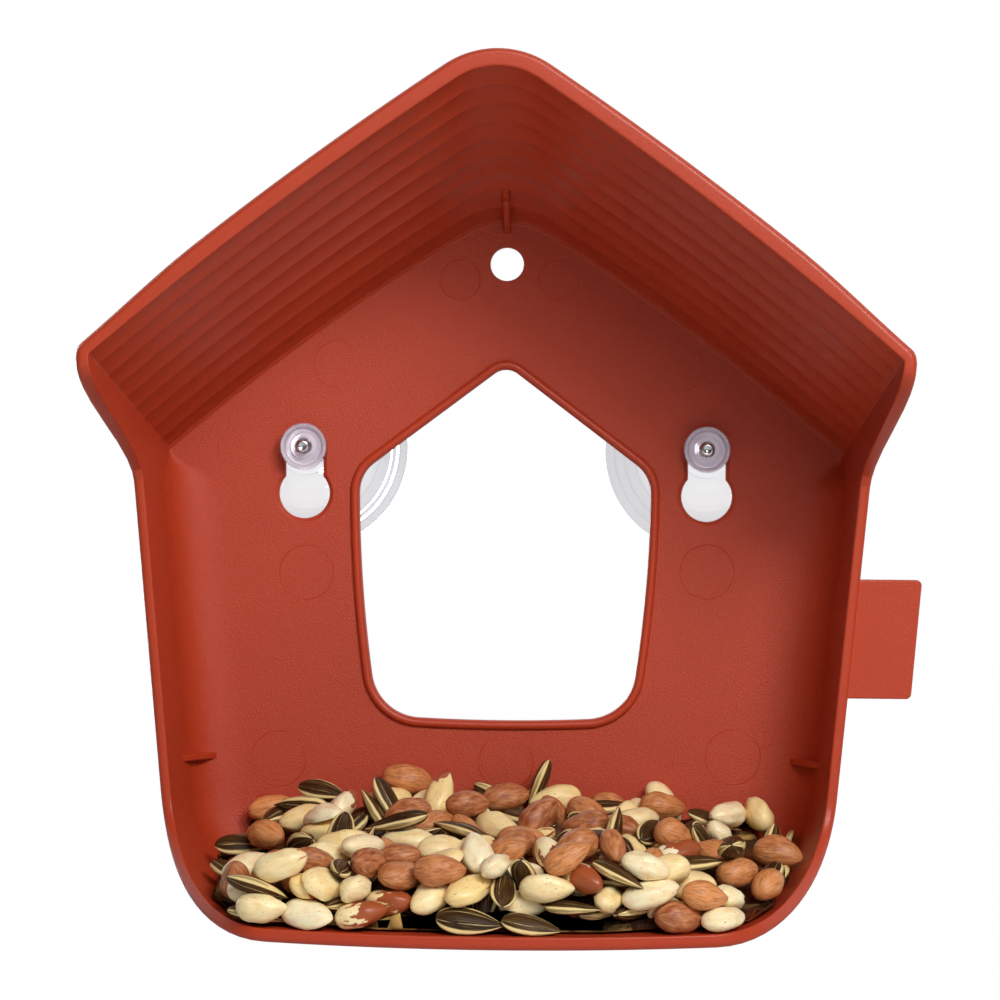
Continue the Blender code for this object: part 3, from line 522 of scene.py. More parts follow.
    def window(self):
        """Rings from the panel's fillet over the window's bead and through the window."""
        corners = [(0, WINDOW_TOP_Z), (window_shoulder_x(), WINDOW_SHOULDER_Z),
                   (window_shoulder_x() - WINDOW_TAPER, WINDOW_FOOT_Z),
                   (WINDOW_TAPER - window_shoulder_x(), WINDOW_FOOT_Z),
                   (-window_shoulder_x(), WINDOW_SHOULDER_Z)]
        radii = [WINDOW_TOP_R, WINDOW_SHOULDER_R, WINDOW_FOOT_R, WINDOW_FOOT_R,
                 WINDOW_SHOULDER_R]
        bows = [0, WINDOW_SIDE_BOW, WINDOW_FOOT_BOW, WINDOW_SIDE_BOW, 0]
        outline = rounded_outline(corners, radii, bows)
        points = np.array(outline)
        normals = np.array(outline_normals(outline))
        levels = []
        for step in range(BEAD_STEPS + 1):
            angle = math.pi * (1 - step / BEAD_STEPS)
            levels.append((BEAD_WIDTH * (1 - math.cos(angle)) / 2,
                           PANEL_WALL + BEAD_HEIGHT * math.sin(angle)))
        levels.append((0, 0))
        rings = []
        for offset, depth in levels:
            flat = points + normals * offset
            rings.append(np.column_stack((flat[:, 0], flat[:, 0] * 0 - STANDOFF - depth,
                                          flat[:, 1])))
        return rings

    def mesh(self):
        """The whole shell as one closed surface without its holes, webs and tag."""
        outer_radii = self.fillets + BACK_WALL
        rings = self.fillet(outer_radii, 0)
        rings += self.skin(outer_radii, RIM_OUTER_R, True)
        rings += self.rim()
        reaches = self.fillets * SOFT_REACH
        rings += self.skin(PANEL_WALL + reaches, RIM_INNER_R, False)[::-1]
        rings += self.soft_fillet(reaches, PANEL_WALL)[::-1]
        window = self.window()
        rings += [mix(rings[-1], window[0], share) for share in PANEL_SHARES]
        rings += window
        rings += [mix(window[-1], rings[0], share) for share in PANEL_SHARES]
        return ring_mesh("house_shell", rings, around=True)


def window_shoulder_x():
    return CUP_SPACING / 2 - KEYHOLE_LAND


# Mesh helpers
def ring_mesh(name, rings, around=False, caps=False):
    """A closed mesh through rings of equal length. Around also joins the last to the first."""
    columns = len(rings[0])
    count = len(rings)
    points = [tuple(point) for ring in rings for point in ring]
    faces = []
    for row in range(count if around else count - 1):
        following = (row + 1) % count
        for column in range(columns):
            after = (column + 1) % columns
            faces.append((row * columns + column, row * columns + after,
                          following * columns + after, following * columns + column))
    if caps:
        faces.append(tuple(range(columns)))
        faces.append(tuple(range((count - 1) * columns, count * columns)))
    mesh = bpy.data.meshes.new(name)
    mesh.from_pydata(points, [], faces)
    work = bmesh.new()
    work.from_mesh(mesh)
    bmesh.ops.remove_doubles(work, verts=work.verts, dist=WELD)
    bmesh.ops.dissolve_degenerate(work, edges=work.edges, dist=WELD)
    bmesh.ops.recalc_face_normals(work, faces=work.faces)
    if work.calc_volume(signed=True) < 0:
        bmesh.ops.reverse_faces(work, faces=work.faces)
    work.to_mesh(mesh)
    work.free()
    return mesh


def new_object(name, mesh, material=None):
    thing = bpy.data.objects.new(name, mesh)
    bpy.context.scene.collection.objects.link(thing)
    if material:
        mesh.materials.append(material)
    return thing


def smooth(mesh, angle=SHARP_ANGLE):
    mesh.shade_smooth()
    mesh.set_sharp_from_angle(angle=angle)


def prism(name, outline, low, high, place):
    rings = [[place(point, level) for point in outline] for level in (low, high)]
    return ring_mesh(name, rings, caps=True)


def joined(name, meshes):
    """One mesh that holds several, which are then removed."""
    work = bmesh.new()
    for mesh in meshes:
        work.from_mesh(mesh)
        bpy.data.meshes.remove(mesh)
    whole = bpy.data.meshes.new(name)
    work.to_mesh(whole)
    work.free()
    return whole


def bevelled(mesh, width, segments=3):
    """The mesh with all its corners over the sharp angle rounded."""
    work = bmesh.new()
    work.from_mesh(mesh)
    edges = [edge for edge in work.edges if edge.calc_face_angle(0) > SHARP_ANGLE]
    bmesh.ops.bevel(work, geom=edges, offset=width, segments=segments, profile=0.5,
                    affect='EDGES', clamp_overlap=True)
    work.to_mesh(mesh)
    work.free()
    return mesh


def combine(target, tool, operation):
    step = target.modifiers.new(tool.name, 'BOOLEAN')
    step.object = tool
    step.operation = operation
    step.solver = 'EXACT'


def apply_modifiers(thing, removed=()):
    """Gives the object the mesh that its modifiers make, and removes the tools."""
    bpy.context.view_layer.update()
    depsgraph = bpy.context.evaluated_depsgraph_get()
    mesh = bpy.data.meshes.new_from_object(thing.evaluated_get(depsgraph))
    thing.modifiers.clear()
    old = thing.data
    thing.data = mesh
    mesh.name = old.name
    bpy.data.meshes.remove(old)
    for tool in removed:
        bpy.data.objects.remove(tool, do_unlink=True)


def weigh_normals(thing):
    step = thing.modifiers.new("even_shading", 'WEIGHTED_NORMAL')
    step.keep_sharp = True
    step.weight = 80
    apply_modifiers(thing)


def on_panel(point, depth):
    return (point[0], -STANDOFF - depth, point[1])


def add_values(mesh, name, values, kind='FLOAT'):
    attribute = mesh.attributes.new(name, kind, 'POINT')
    field = "value" if kind == 'FLOAT' else "vector"
    attribute.data.foreach_set(field, np.asarray(values, np.float32).ravel())


# Camera geometry
def camera_axes():
    forward = Vector((-math.sin(CAMERA_TURN), math.cos(CAMERA_TURN), 0))
    across = Vector((math.cos(CAMERA_TURN), math.sin(CAMERA_TURN), 0))
    rise = Vector((0, 0, 1))
    right = across * math.cos(CAMERA_ROLL) + rise * math.sin(CAMERA_ROLL)
    up = rise * math.cos(CAMERA_ROLL) - across * math.sin(CAMERA_ROLL)
    scale = CAMERA_DISTANCE / FOCAL_PX
    place = (Vector(CAMERA_TARGET) - forward * CAMERA_DISTANCE
             + across * CAMERA_SHIFT_PX[0] * scale + rise * CAMERA_SHIFT_PX[1] * scale)
    return place, right, up, forward


def picture_ray(x, y):
    """Where the camera stands, and the direction in which it sees a point of the picture."""
    place, right, up, forward = camera_axes()
    half = PICTURE / 2
    ray = forward + right * (x - half) / FOCAL_PX + up * (half - y) / FOCAL_PX
    return place, ray.normalized()


def picture_point(x, y, depth):
    """The point at this depth in front of the panel's back that the picture shows at x and y."""
    place, ray = picture_ray(x, y)
    return place + ray * ((-STANDOFF - depth - place.y) / ray.y)


# Materials
# Where the white backdrop begins for glossy rays: on the floor, and as a share of their way back
SWEEP_FRONT = 0.5
SWEEP_BACK = 1.5
HORIZON_FRONT = -0.2
HORIZON_BACK = 0.3


def linear(colour_hex):
    """A linear colour from an sRGB hex value such as B0452F."""
    values = [int(colour_hex[start:start + 2], 16) / 255 for start in (0, 2, 4)]
    turned = [v / 12.92 if v <= 0.04045 else ((v + 0.055) / 1.055) ** 2.4 for v in values]
    return (*turned, 1)


def add_node(tree, kind, settings=None, values=None, links=None):
    """Adds a node with its own settings, its sockets' values and the outputs it reads."""
    node = tree.nodes.new(kind)
    for name, value in (settings or {}).items():
        setattr(node, name, value)
    for socket, value in (values or {}).items():
        node.inputs[socket].default_value = value
    for socket, source in (links or {}).items():
        tree.links.new(source, node.inputs[socket])
    return node


def new_material(name, values):
    material = bpy.data.materials.new(name)
    material.use_nodes = True
    shader = material.node_tree.nodes["Principled BSDF"]
    for socket, value in values.items():
        shader.inputs[socket].default_value = value
    return material, material.node_tree, shader


def moulded_polypropylene(settings):
    """Polypropylene moulded in a tool with a leather grain.

    The panel shows the grain as fine lights. Walls, beads and rims came from smoother steel,
    so that they are matt to satin.
    """
    material, tree, shader = new_material("polypropylene_moulded_terracotta", {
        "Roughness": settings.roughness, "IOR": 1.49, "Specular IOR Level": 0.4})
    place = add_node(tree, "ShaderNodeTexCoord").outputs["Object"]
    grain = add_node(tree, "ShaderNodeAttribute", {"attribute_name": "grain"}).outputs["Fac"]
    pitch = settings.grain_pitch
    warp = add_node(tree, "ShaderNodeTexNoise", values={"Scale": 1 / (3 * pitch), "Detail": 2.0},
                    links={"Vector": place})
    bent = add_node(tree, "ShaderNodeVectorMath", {"operation": 'MULTIPLY_ADD'},
                    {1: (pitch, pitch, pitch)}, {0: warp.outputs["Color"], 2: place})
    cells = add_node(tree, "ShaderNodeTexVoronoi", {"feature": 'SMOOTH_F1'},
                     {"Scale": 1 / pitch, "Smoothness": 0.6}, {"Vector": bent.outputs[0]})
    fine = add_node(tree, "ShaderNodeTexNoise",
                    values={"Scale": 1.6 / pitch, "Detail": 2.0, "Roughness": 0.6},
                    links={"Vector": place})
    relief = add_node(tree, "ShaderNodeMath", {"operation": 'MULTIPLY_ADD'}, {1: 1.3},
                      {0: fine.outputs["Fac"], 2: cells.outputs["Distance"]})
    height = add_node(tree, "ShaderNodeMath", {"operation": 'MULTIPLY'},
                      links={0: relief.outputs[0], 1: grain})
    bump = add_node(tree, "ShaderNodeBump", values={"Strength": 1.0,
                                                    "Distance": settings.grain_depth},
                    links={"Height": height.outputs[0]})
    cloud = add_node(tree, "ShaderNodeTexNoise", values={"Scale": 1 / (30 * MM), "Detail": 3.0},
                     links={"Vector": place})
    base = (*settings.colour, 1)
    tint = add_node(tree, "ShaderNodeMix", {"data_type": 'RGBA'},
                    {MIX_A: tuple(c * 0.94 for c in base[:3]) + (1,),
                     MIX_B: tuple(c * 1.06 for c in base[:3]) + (1,)},
                    {MIX_FACTOR: cloud.outputs["Fac"]})
    tree.links.new(tint.outputs[MIX_RESULT], shader.inputs["Base Color"])
    rough = add_node(tree, "ShaderNodeMapRange",
                     values={"From Min": 0.3, "From Max": 0.7,
                             "To Min": settings.roughness - 0.08,
                             "To Max": settings.roughness + 0.08},
                     links={"Value": fine.outputs["Fac"]})
    tree.links.new(rough.outputs[0], shader.inputs["Roughness"])
    tree.links.new(bump.outputs[0], shader.inputs["Normal"])
    return material


def clear_vinyl():
    """Plasticised PVC, moulded clear: see-through, faint grey haze, soft gloss, painted shade on
    lip and rings.
    """
    material, tree, shader = new_material("plasticised_pvc_moulded_clear", {
        "Roughness": 0.08, "IOR": 1.45, "Transmission Weight": 0.94})
    place = add_node(tree, "ShaderNodeTexCoord").outputs["Object"]
    parts = add_node(tree, "ShaderNodeSeparateXYZ", links={0: place})
    side = add_node(tree, "ShaderNodeMath", {"operation": 'ABSOLUTE'}, links={0: parts.outputs[0]})
    beside = add_node(tree, "ShaderNodeMath", {"operation": 'SUBTRACT'}, {1: CUP_SPACING / 2},
                      {0: side.outputs[0]})
    flat = add_node(tree, "ShaderNodeCombineXYZ", links={0: beside.outputs[0],
                                                         1: parts.outputs[2]})
    radius = add_node(tree, "ShaderNodeVectorMath", {"operation": 'LENGTH'},
                      links={0: flat.outputs[0]})
    # Greyer towards the lip: partly its greater thickness, partly painted shade.
    outer = add_node(tree, "ShaderNodeMapRange", {"interpolation_type": 'SMOOTHSTEP'},
                     {"From Min": 15 * MM, "From Max": 22 * MM}, {"Value": radius.outputs["Value"]})
    haze_and_lip_shade = add_node(tree, "ShaderNodeMix", {"data_type": 'RGBA'},
                    {MIX_A: linear("F6F6F8"), MIX_B: linear("E0E0E4")},
                    {MIX_FACTOR: outer.outputs[0]})
    turns = add_node(tree, "ShaderNodeMath", {"operation": 'MULTIPLY'},
                     {1: 2 * math.pi / (2.8 * MM)}, {0: radius.outputs["Value"]})
    rings = add_node(tree, "ShaderNodeMath", {"operation": 'SINE'}, links={0: turns.outputs[0]})
    # Painted shade: grey lines on the crests of the moulded rings, standing in for the dark lines
    # of their refraction.
    crest_line_shade = add_node(tree, "ShaderNodeMapRange", {"interpolation_type": 'SMOOTHSTEP'},
                     {"From Min": 0.75, "From Max": 1.0, "To Max": 0.5},
                     {"Value": rings.outputs[0]})
    step = add_node(tree, "ShaderNodeMath", {"operation": 'MULTIPLY'},
                    links={0: crest_line_shade.outputs[0], 1: outer.outputs[0]})
    ring_lines_shaded = add_node(tree, "ShaderNodeMix", {"data_type": 'RGBA'}, {MIX_B: linear("CFCFD4")},
                       {MIX_FACTOR: step.outputs[0], MIX_A: haze_and_lip_shade.outputs[MIX_RESULT]})
    tree.links.new(ring_lines_shaded.outputs[MIX_RESULT], shader.inputs["Base Color"])
    flow = add_node(tree, "ShaderNodeTexNoise", values={"Scale": 1 / (5 * MM), "Detail": 2.0},
                    links={"Vector": place})
    waves = add_node(tree, "ShaderNodeMath", {"operation": 'MULTIPLY_ADD'}, {1: 0.5},
                     {0: rings.outputs[0], 2: flow.outputs["Fac"]})
    bump = add_node(tree, "ShaderNodeBump", values={"Strength": 0.8, "Distance": 0.1 * MM},
                    links={"Height": waves.outputs[0]})
    tree.links.new(bump.outputs[0], shader.inputs["Normal"])
    return material


def clear_polystyrene(settings):
    """Clear styrene with a faint violet cast, moulded: hard gloss, lights caught in its knurls."""
    material, tree, shader = new_material("polystyrene_moulded_clear_violet", {
        "Base Color": (*settings.nut_tint, 1), "Roughness": 0.12, "IOR": 1.49,
        "Transmission Weight": 0.62})
    place = add_node(tree, "ShaderNodeTexCoord").outputs["Object"]
    flow = add_node(tree, "ShaderNodeTexNoise", values={"Scale": 1 / (2.5 * MM), "Detail": 2.0},
                    links={"Vector": place})
    bump = add_node(tree, "ShaderNodeBump", values={"Strength": 0.35, "Distance": 0.08 * MM},
                    links={"Height": flow.outputs["Fac"]})
    tree.links.new(bump.outputs[0], shader.inputs["Normal"])
    return material


def zinc_plated_steel():
    """Cold-headed steel screw with a bright zinc plating, slightly clouded."""
    material, tree, shader = new_material("steel_zinc_plated", {
        "Base Color": linear("C9CBCE"), "Metallic": 1.0, "Roughness": 0.22})
    place = add_node(tree, "ShaderNodeTexCoord").outputs["Object"]
    cloud = add_node(tree, "ShaderNodeTexNoise", values={"Scale": 1 / (0.8 * MM), "Detail": 4.0},
                     links={"Vector": place})
    rough = add_node(tree, "ShaderNodeMapRange", values={"To Min": 0.16, "To Max": 0.36},
                     links={"Value": cloud.outputs["Fac"]})
    tree.links.new(rough.outputs[0], shader.inputs["Roughness"])
    return material


def place_on_kernel(tree, shift):
    """Where a point lies on its kernel, that place with the kernel's own shift, and its tone.

    The shift goes by the tone, and gives every kernel a pattern of its own.
    """
    place = add_node(tree, "ShaderNodeAttribute", {"attribute_name": "seed_place"})
    tone = add_node(tree, "ShaderNodeAttribute", {"attribute_name": "seed_tone"}).outputs["Fac"]
    even = add_node(tree, "ShaderNodeCombineXYZ", links={0: tone, 1: tone, 2: tone})
    shifted = add_node(tree, "ShaderNodeVectorMath", {"operation": 'MULTIPLY_ADD'}, {1: shift},
                       {0: even.outputs[0], 2: place.outputs["Vector"]})
    parts = add_node(tree, "ShaderNodeSeparateXYZ", links={0: place.outputs["Vector"]})
    return parts, shifted.outputs[0], tone


def sunflower_husk():
    """Dry sunflower husk: near-black fibre with a low gloss, cream lines near its two edges."""
    material, tree, shader = new_material("sunflower_husk_dried", {
        "Roughness": 0.45, "IOR": 1.46, "Specular IOR Level": 0.2})
    parts, shifted, tone = place_on_kernel(tree, (41.0, 17.0, 29.0))
    fibres = add_node(tree, "ShaderNodeMapping", values={"Scale": (0.9, 15.0, 6.0)},
                      links={"Vector": shifted})
    streak = add_node(tree, "ShaderNodeTexNoise",
                      values={"Scale": 1.0, "Detail": 3.0, "Roughness": 0.65},
                      links={"Vector": fibres.outputs[0]})
    wander = add_node(tree, "ShaderNodeTexNoise", values={"Scale": 1.4, "Detail": 2.0},
                      links={"Vector": shifted})
    side = add_node(tree, "ShaderNodeMath", {"operation": 'ABSOLUTE'}, links={0: parts.outputs[1]})
    across = add_node(tree, "ShaderNodeMath", {"operation": 'MULTIPLY_ADD'}, {1: 0.16},
                      {0: wander.outputs["Fac"], 2: side.outputs[0]})
    edge = add_node(tree, "ShaderNodeMapRange", {"interpolation_type": 'SMOOTHSTEP'},
                    {"From Min": 0.84, "From Max": 0.93}, {"Value": across.outputs[0]})
    edge_off = add_node(tree, "ShaderNodeMapRange", {"interpolation_type": 'SMOOTHSTEP'},
                        {"From Min": 1.03, "From Max": 1.07, "To Min": 1.0, "To Max": 0.35},
                        {"Value": across.outputs[0]})
    edge_line = add_node(tree, "ShaderNodeMath", {"operation": 'MULTIPLY'},
                         links={0: edge.outputs[0], 1: edge_off.outputs[0]})
    off_line = add_node(tree, "ShaderNodeMath", {"operation": 'SUBTRACT'}, {1: 0.52},
                        {0: across.outputs[0]})
    near_line = add_node(tree, "ShaderNodeMath", {"operation": 'ABSOLUTE'},
                         links={0: off_line.outputs[0]})
    inner = add_node(tree, "ShaderNodeMapRange", {"interpolation_type": 'SMOOTHSTEP'},
                     {"From Min": 0.015, "From Max": 0.045, "To Min": 0.6, "To Max": 0.0},
                     {"Value": near_line.outputs[0]})
    broken = add_node(tree, "ShaderNodeMapRange", {"interpolation_type": 'SMOOTHSTEP'},
                      {"From Min": 0.47, "From Max": 0.56}, {"Value": streak.outputs["Fac"]})
    inner_line = add_node(tree, "ShaderNodeMath", {"operation": 'MULTIPLY'},
                          links={0: inner.outputs[0], 1: broken.outputs[0]})
    lines = add_node(tree, "ShaderNodeMath", {"operation": 'MAXIMUM'},
                     links={0: edge_line.outputs[0], 1: inner_line.outputs[0]})
    thread = add_node(tree, "ShaderNodeMapRange",
                      values={"From Min": 0.52, "From Max": 0.72, "To Min": 0.0, "To Max": 0.42},
                      links={"Value": streak.outputs["Fac"]})
    dark = add_node(tree, "ShaderNodeMix", {"data_type": 'RGBA'},
                    {MIX_A: linear("2C1A0C"), MIX_B: linear("4A2F15")}, {MIX_FACTOR: tone})
    fibre = add_node(tree, "ShaderNodeMix", {"data_type": 'RGBA'}, {MIX_B: linear("B08744")},
                     {MIX_FACTOR: thread.outputs[0], MIX_A: dark.outputs[MIX_RESULT]})
    cream = add_node(tree, "ShaderNodeMix", {"data_type": 'RGBA'}, {MIX_B: linear("F0D595")},
                     {MIX_FACTOR: lines.outputs[0], MIX_A: fibre.outputs[MIX_RESULT]})
    tree.links.new(cream.outputs[MIX_RESULT], shader.inputs["Base Color"])
    bump = add_node(tree, "ShaderNodeBump", values={"Strength": 0.6, "Distance": 0.12 * MM},
                    links={"Height": streak.outputs["Fac"]})
    tree.links.new(bump.outputs[0], shader.inputs["Normal"])
    return material


def peanut_skin():
    """Dry peanut skin: a thin papery seed coat, wrinkled lengthwise, with a faint waxy gloss."""
    material, tree, shader = new_material("peanut_skin_dried", {"Roughness": 0.42, "IOR": 1.45})
    shifted, tone = place_on_kernel(tree, (23.0, 51.0, 37.0))[1:]
    veins = add_node(tree, "ShaderNodeMapping", values={"Scale": (2.2, 7.0, 7.0)},
                     links={"Vector": shifted})
    vein = add_node(tree, "ShaderNodeTexNoise",
                    values={"Scale": 1.0, "Detail": 4.0, "Roughness": 0.6, "Distortion": 0.6},
                    links={"Vector": veins.outputs[0]})
    mottle = add_node(tree, "ShaderNodeTexNoise", values={"Scale": 2.6, "Detail": 4.0},
                      links={"Vector": shifted})
    grit = add_node(tree, "ShaderNodeTexNoise", values={"Scale": 16.0, "Detail": 2.0},
                    links={"Vector": shifted})
    coat = add_node(tree, "ShaderNodeMix", {"data_type": 'RGBA'},
                    {MIX_A: linear("904020"), MIX_B: linear("E0904F")}, {MIX_FACTOR: tone})
    cloudy = add_node(tree, "ShaderNodeMapRange", values={"From Min": 0.35, "From Max": 0.7,
                                                          "To Min": 0.0, "To Max": 0.6},
                      links={"Value": mottle.outputs["Fac"]})
    pale = add_node(tree, "ShaderNodeMix", {"data_type": 'RGBA'}, {MIX_B: linear("EEAA72")},
                    {MIX_FACTOR: cloudy.outputs[0], MIX_A: coat.outputs[MIX_RESULT]})
    lined = add_node(tree, "ShaderNodeMapRange", values={"From Min": 0.35, "From Max": 0.52,
                                                         "To Min": 0.55, "To Max": 0.0},
                     links={"Value": vein.outputs["Fac"]})
    dark = add_node(tree, "ShaderNodeMix", {"data_type": 'RGBA'}, {MIX_B: linear("6E2E12")},
                    {MIX_FACTOR: lined.outputs[0], MIX_A: pale.outputs[MIX_RESULT]})
    tree.links.new(dark.outputs[MIX_RESULT], shader.inputs["Base Color"])
    both = add_node(tree, "ShaderNodeMath", {"operation": 'MULTIPLY_ADD'}, {1: 0.25},
                    {0: grit.outputs["Fac"], 2: vein.outputs["Fac"]})
    bump = add_node(tree, "ShaderNodeBump", values={"Strength": 0.8, "Distance": 0.22 * MM},
                    links={"Height": both.outputs[0]})
    tree.links.new(bump.outputs[0], shader.inputs["Normal"])
    return material


def blanched_flesh():
    """Blanched peanut flesh: dense, oily and cream, with specks and rests of brown skin."""
    material, tree, shader = new_material("peanut_flesh_blanched", {
        "Roughness": 0.38, "IOR": 1.46, "Subsurface Weight": 0.12, "Subsurface Scale": 1.5 * MM})
    parts, shifted, tone = place_on_kernel(tree, (31.0, 13.0, 47.0))
    skin = add_node(tree, "ShaderNodeAttribute", {"attribute_name": "seed_skin"}).outputs["Fac"]
    cloud = add_node(tree, "ShaderNodeTexNoise", values={"Scale": 1.8, "Detail": 4.0},
                     links={"Vector": shifted})
    specks = add_node(tree, "ShaderNodeTexNoise", values={"Scale": 7.5, "Detail": 2.0},
                      links={"Vector": shifted})
    flesh = add_node(tree, "ShaderNodeMix", {"data_type": 'RGBA'},
                     {MIX_A: linear("F8DA94"), MIX_B: linear("FFF1CA")}, {MIX_FACTOR: tone})
    toasted = add_node(tree, "ShaderNodeMapRange", values={"From Min": 0.45, "From Max": 0.75,
                                                           "To Min": 0.0, "To Max": 0.55},
                       links={"Value": cloud.outputs["Fac"]})
    warm = add_node(tree, "ShaderNodeMix", {"data_type": 'RGBA'}, {MIX_B: linear("E2AE5C")},
                    {MIX_FACTOR: toasted.outputs[0], MIX_A: flesh.outputs[MIX_RESULT]})
    speck = add_node(tree, "ShaderNodeMapRange", {"interpolation_type": 'SMOOTHSTEP'},
                     {"From Min": 0.68, "From Max": 0.72, "To Max": 0.8},
                     {"Value": specks.outputs["Fac"]})
    dotted = add_node(tree, "ShaderNodeMix", {"data_type": 'RGBA'}, {MIX_B: linear("9A5A30")},
                      {MIX_FACTOR: speck.outputs[0], MIX_A: warm.outputs[MIX_RESULT]})
    lean = add_node(tree, "ShaderNodeMath", {"operation": 'MULTIPLY_ADD'}, {1: 0.35},
                    {0: parts.outputs[0], 2: cloud.outputs["Fac"]})
    reach = add_node(tree, "ShaderNodeMath", {"operation": 'ADD'},
                     links={0: lean.outputs[0], 1: skin})
    patch = add_node(tree, "ShaderNodeMapRange", {"interpolation_type": 'SMOOTHSTEP'},
                     {"From Min": 0.98, "From Max": 1.02}, {"Value": reach.outputs[0]})
    coated = add_node(tree, "ShaderNodeMix", {"data_type": 'RGBA'}, {MIX_B: linear("A5522A")},
                      {MIX_FACTOR: patch.outputs[0], MIX_A: dotted.outputs[MIX_RESULT]})
    tree.links.new(coated.outputs[MIX_RESULT], shader.inputs["Base Color"])
    bump = add_node(tree, "ShaderNodeBump", values={"Strength": 0.4, "Distance": 0.2 * MM},
                    links={"Height": cloud.outputs["Fac"]})
    tree.links.new(bump.outputs[0], shader.inputs["Normal"])
    return material


def mixed_feed():
    """Feed in the shade under the top layer: kernels of three sorts, with painted shade at lump
    edges.
    """
    material, tree, shader = new_material("bird_feed_mixed", {
        "Roughness": 0.7, "IOR": 1.45, "Specular IOR Level": 0.2})
    place = add_node(tree, "ShaderNodeTexCoord").outputs["Object"]
    cells = add_node(tree, "ShaderNodeTexVoronoi", values={"Scale": 1 / (8 * MM)},
                     links={"Vector": place})
    # Painted shade: the lumps' edges, where the gaps between the kernels lie, darken towards
    # 3A2412.
    rim = add_node(tree, "ShaderNodeMapRange", values={"From Min": 0.25, "From Max": 0.6,
                                                       "To Min": 0.0, "To Max": 0.85},
                   links={"Value": cells.outputs["Distance"]})
    pick = add_node(tree, "ShaderNodeSeparateXYZ", links={0: cells.outputs["Color"]})
    brown = add_node(tree, "ShaderNodeMath", {"operation": 'GREATER_THAN'}, {1: 0.55},
                     {0: pick.outputs[0]})
    black = add_node(tree, "ShaderNodeMath", {"operation": 'GREATER_THAN'}, {1: 0.6},
                     {0: pick.outputs[1]})
    two = add_node(tree, "ShaderNodeMix", {"data_type": 'RGBA'},
                   {MIX_A: linear("C9A25C"), MIX_B: linear("8A4220")},
                   {MIX_FACTOR: brown.outputs[0]})
    three = add_node(tree, "ShaderNodeMix", {"data_type": 'RGBA'}, {MIX_B: linear("4A3018")},
                     {MIX_FACTOR: black.outputs[0], MIX_A: two.outputs[MIX_RESULT]})
    shade = add_node(tree, "ShaderNodeMix", {"data_type": 'RGBA'}, {MIX_B: linear("3A2412")},
                     {MIX_FACTOR: rim.outputs[0], MIX_A: three.outputs[MIX_RESULT]})
    tree.links.new(shade.outputs[MIX_RESULT], shader.inputs["Base Color"])
    bump = add_node(tree, "ShaderNodeBump", {"invert": True},
                    {"Strength": 0.8, "Distance": 1.2 * MM},
                    {"Height": cells.outputs["Distance"]})
    tree.links.new(bump.outputs[0], shader.inputs["Normal"])
    return material


def backdrop_share(tree, place, front, back):
    """One for rays that see the white backdrop: glossy ones see it only behind the object.

    The room in front of the object is dim, so that satin faces turned that way keep their colour.
    """
    path = add_node(tree, "ShaderNodeLightPath")
    depth = add_node(tree, "ShaderNodeSeparateXYZ", links={0: place})
    behind = add_node(tree, "ShaderNodeMapRange", {"interpolation_type": 'SMOOTHSTEP'},
                      {"From Min": front, "From Max": back}, {"Value": depth.outputs[1]})
    glossy = add_node(tree, "ShaderNodeMath", {"operation": 'MULTIPLY'},
                      links={0: behind.outputs[0], 1: path.outputs["Is Glossy Ray"]})
    direct = add_node(tree, "ShaderNodeMath", {"operation": 'MAXIMUM'},
                      links={0: path.outputs["Is Camera Ray"],
                             1: path.outputs["Is Transmission Ray"]})
    seen = add_node(tree, "ShaderNodeMath", {"operation": 'MAXIMUM'},
                    links={0: direct.outputs[0], 1: glossy.outputs[0]})
    return seen.outputs[0]


def seamless_paper(settings):
    """Studio paper: plain and pale, white to the camera, so that only a faint shadow shows."""
    material, tree, shader = new_material("studio_paper", {
        "Base Color": (*settings.paper, 1), "Roughness": 0.9})
    place = add_node(tree, "ShaderNodeTexCoord").outputs["Object"]
    seen = backdrop_share(tree, place, SWEEP_FRONT, SWEEP_BACK)
    most = add_node(tree, "ShaderNodeMath", {"operation": 'MULTIPLY'}, {1: settings.whiteness},
                    {0: seen})
    glow = add_node(tree, "ShaderNodeEmission", values={"Strength": 1.0})
    both = add_node(tree, "ShaderNodeMixShader",
                    links={0: most.outputs[0], 1: shader.outputs[0], 2: glow.outputs[0]})
    output = tree.nodes["Material Output"]
    tree.links.new(both.outputs[0], output.inputs["Surface"])
    return material


# House shell
def pin_marks():
    """Thin round ridges on the panel where the ejector pins stood, as closed rings."""
    meshes = []
    for x, y, radius_px in PIN_MARKS_PX:
        centre = picture_point(x, y, PANEL_WALL)
        scale = (centre - camera_axes()[0]).dot(camera_axes()[3]) / FOCAL_PX
        rings = []
        for spread, rise in ((-MARK_SPREAD, -MARK_SINK), (0, MARK_RISE), (MARK_SPREAD, -MARK_SINK)):
            circle = arc((centre.x, centre.z), radius_px * scale + spread, 0, 2 * math.pi,
                         MARK_SIDES)[:-1]
            rings.append([on_panel(point, PANEL_WALL + rise) for point in circle])
        meshes.append(ring_mesh("pin_mark", rings, around=True))
    return meshes


def apex_gusset():
    """The web under the ridge; the small nub on its edge comes from apex_nub."""
    reach = PANEL_WALL + APEX_GUSSET_DEPTH
    ridge = house_section(reach)[APEX_STEPS][1]
    top = house_section(PANEL_WALL)[APEX_STEPS][1]
    low = top - APEX_GUSSET_DROP
    outline = [(top + GUSSET_ROOT, PANEL_WALL - GUSSET_ROOT), (ridge + GUSSET_ROOT, reach),
               (ridge, reach), (low, PANEL_WALL), (low, PANEL_WALL - GUSSET_ROOT)]
    half = GUSSET_WALL / 2
    web = prism("apex_gusset", outline, -half, half,
                lambda point, level: (level, -STANDOFF - point[1], point[0]))
    return bevelled(web, GUSSET_ROUND)


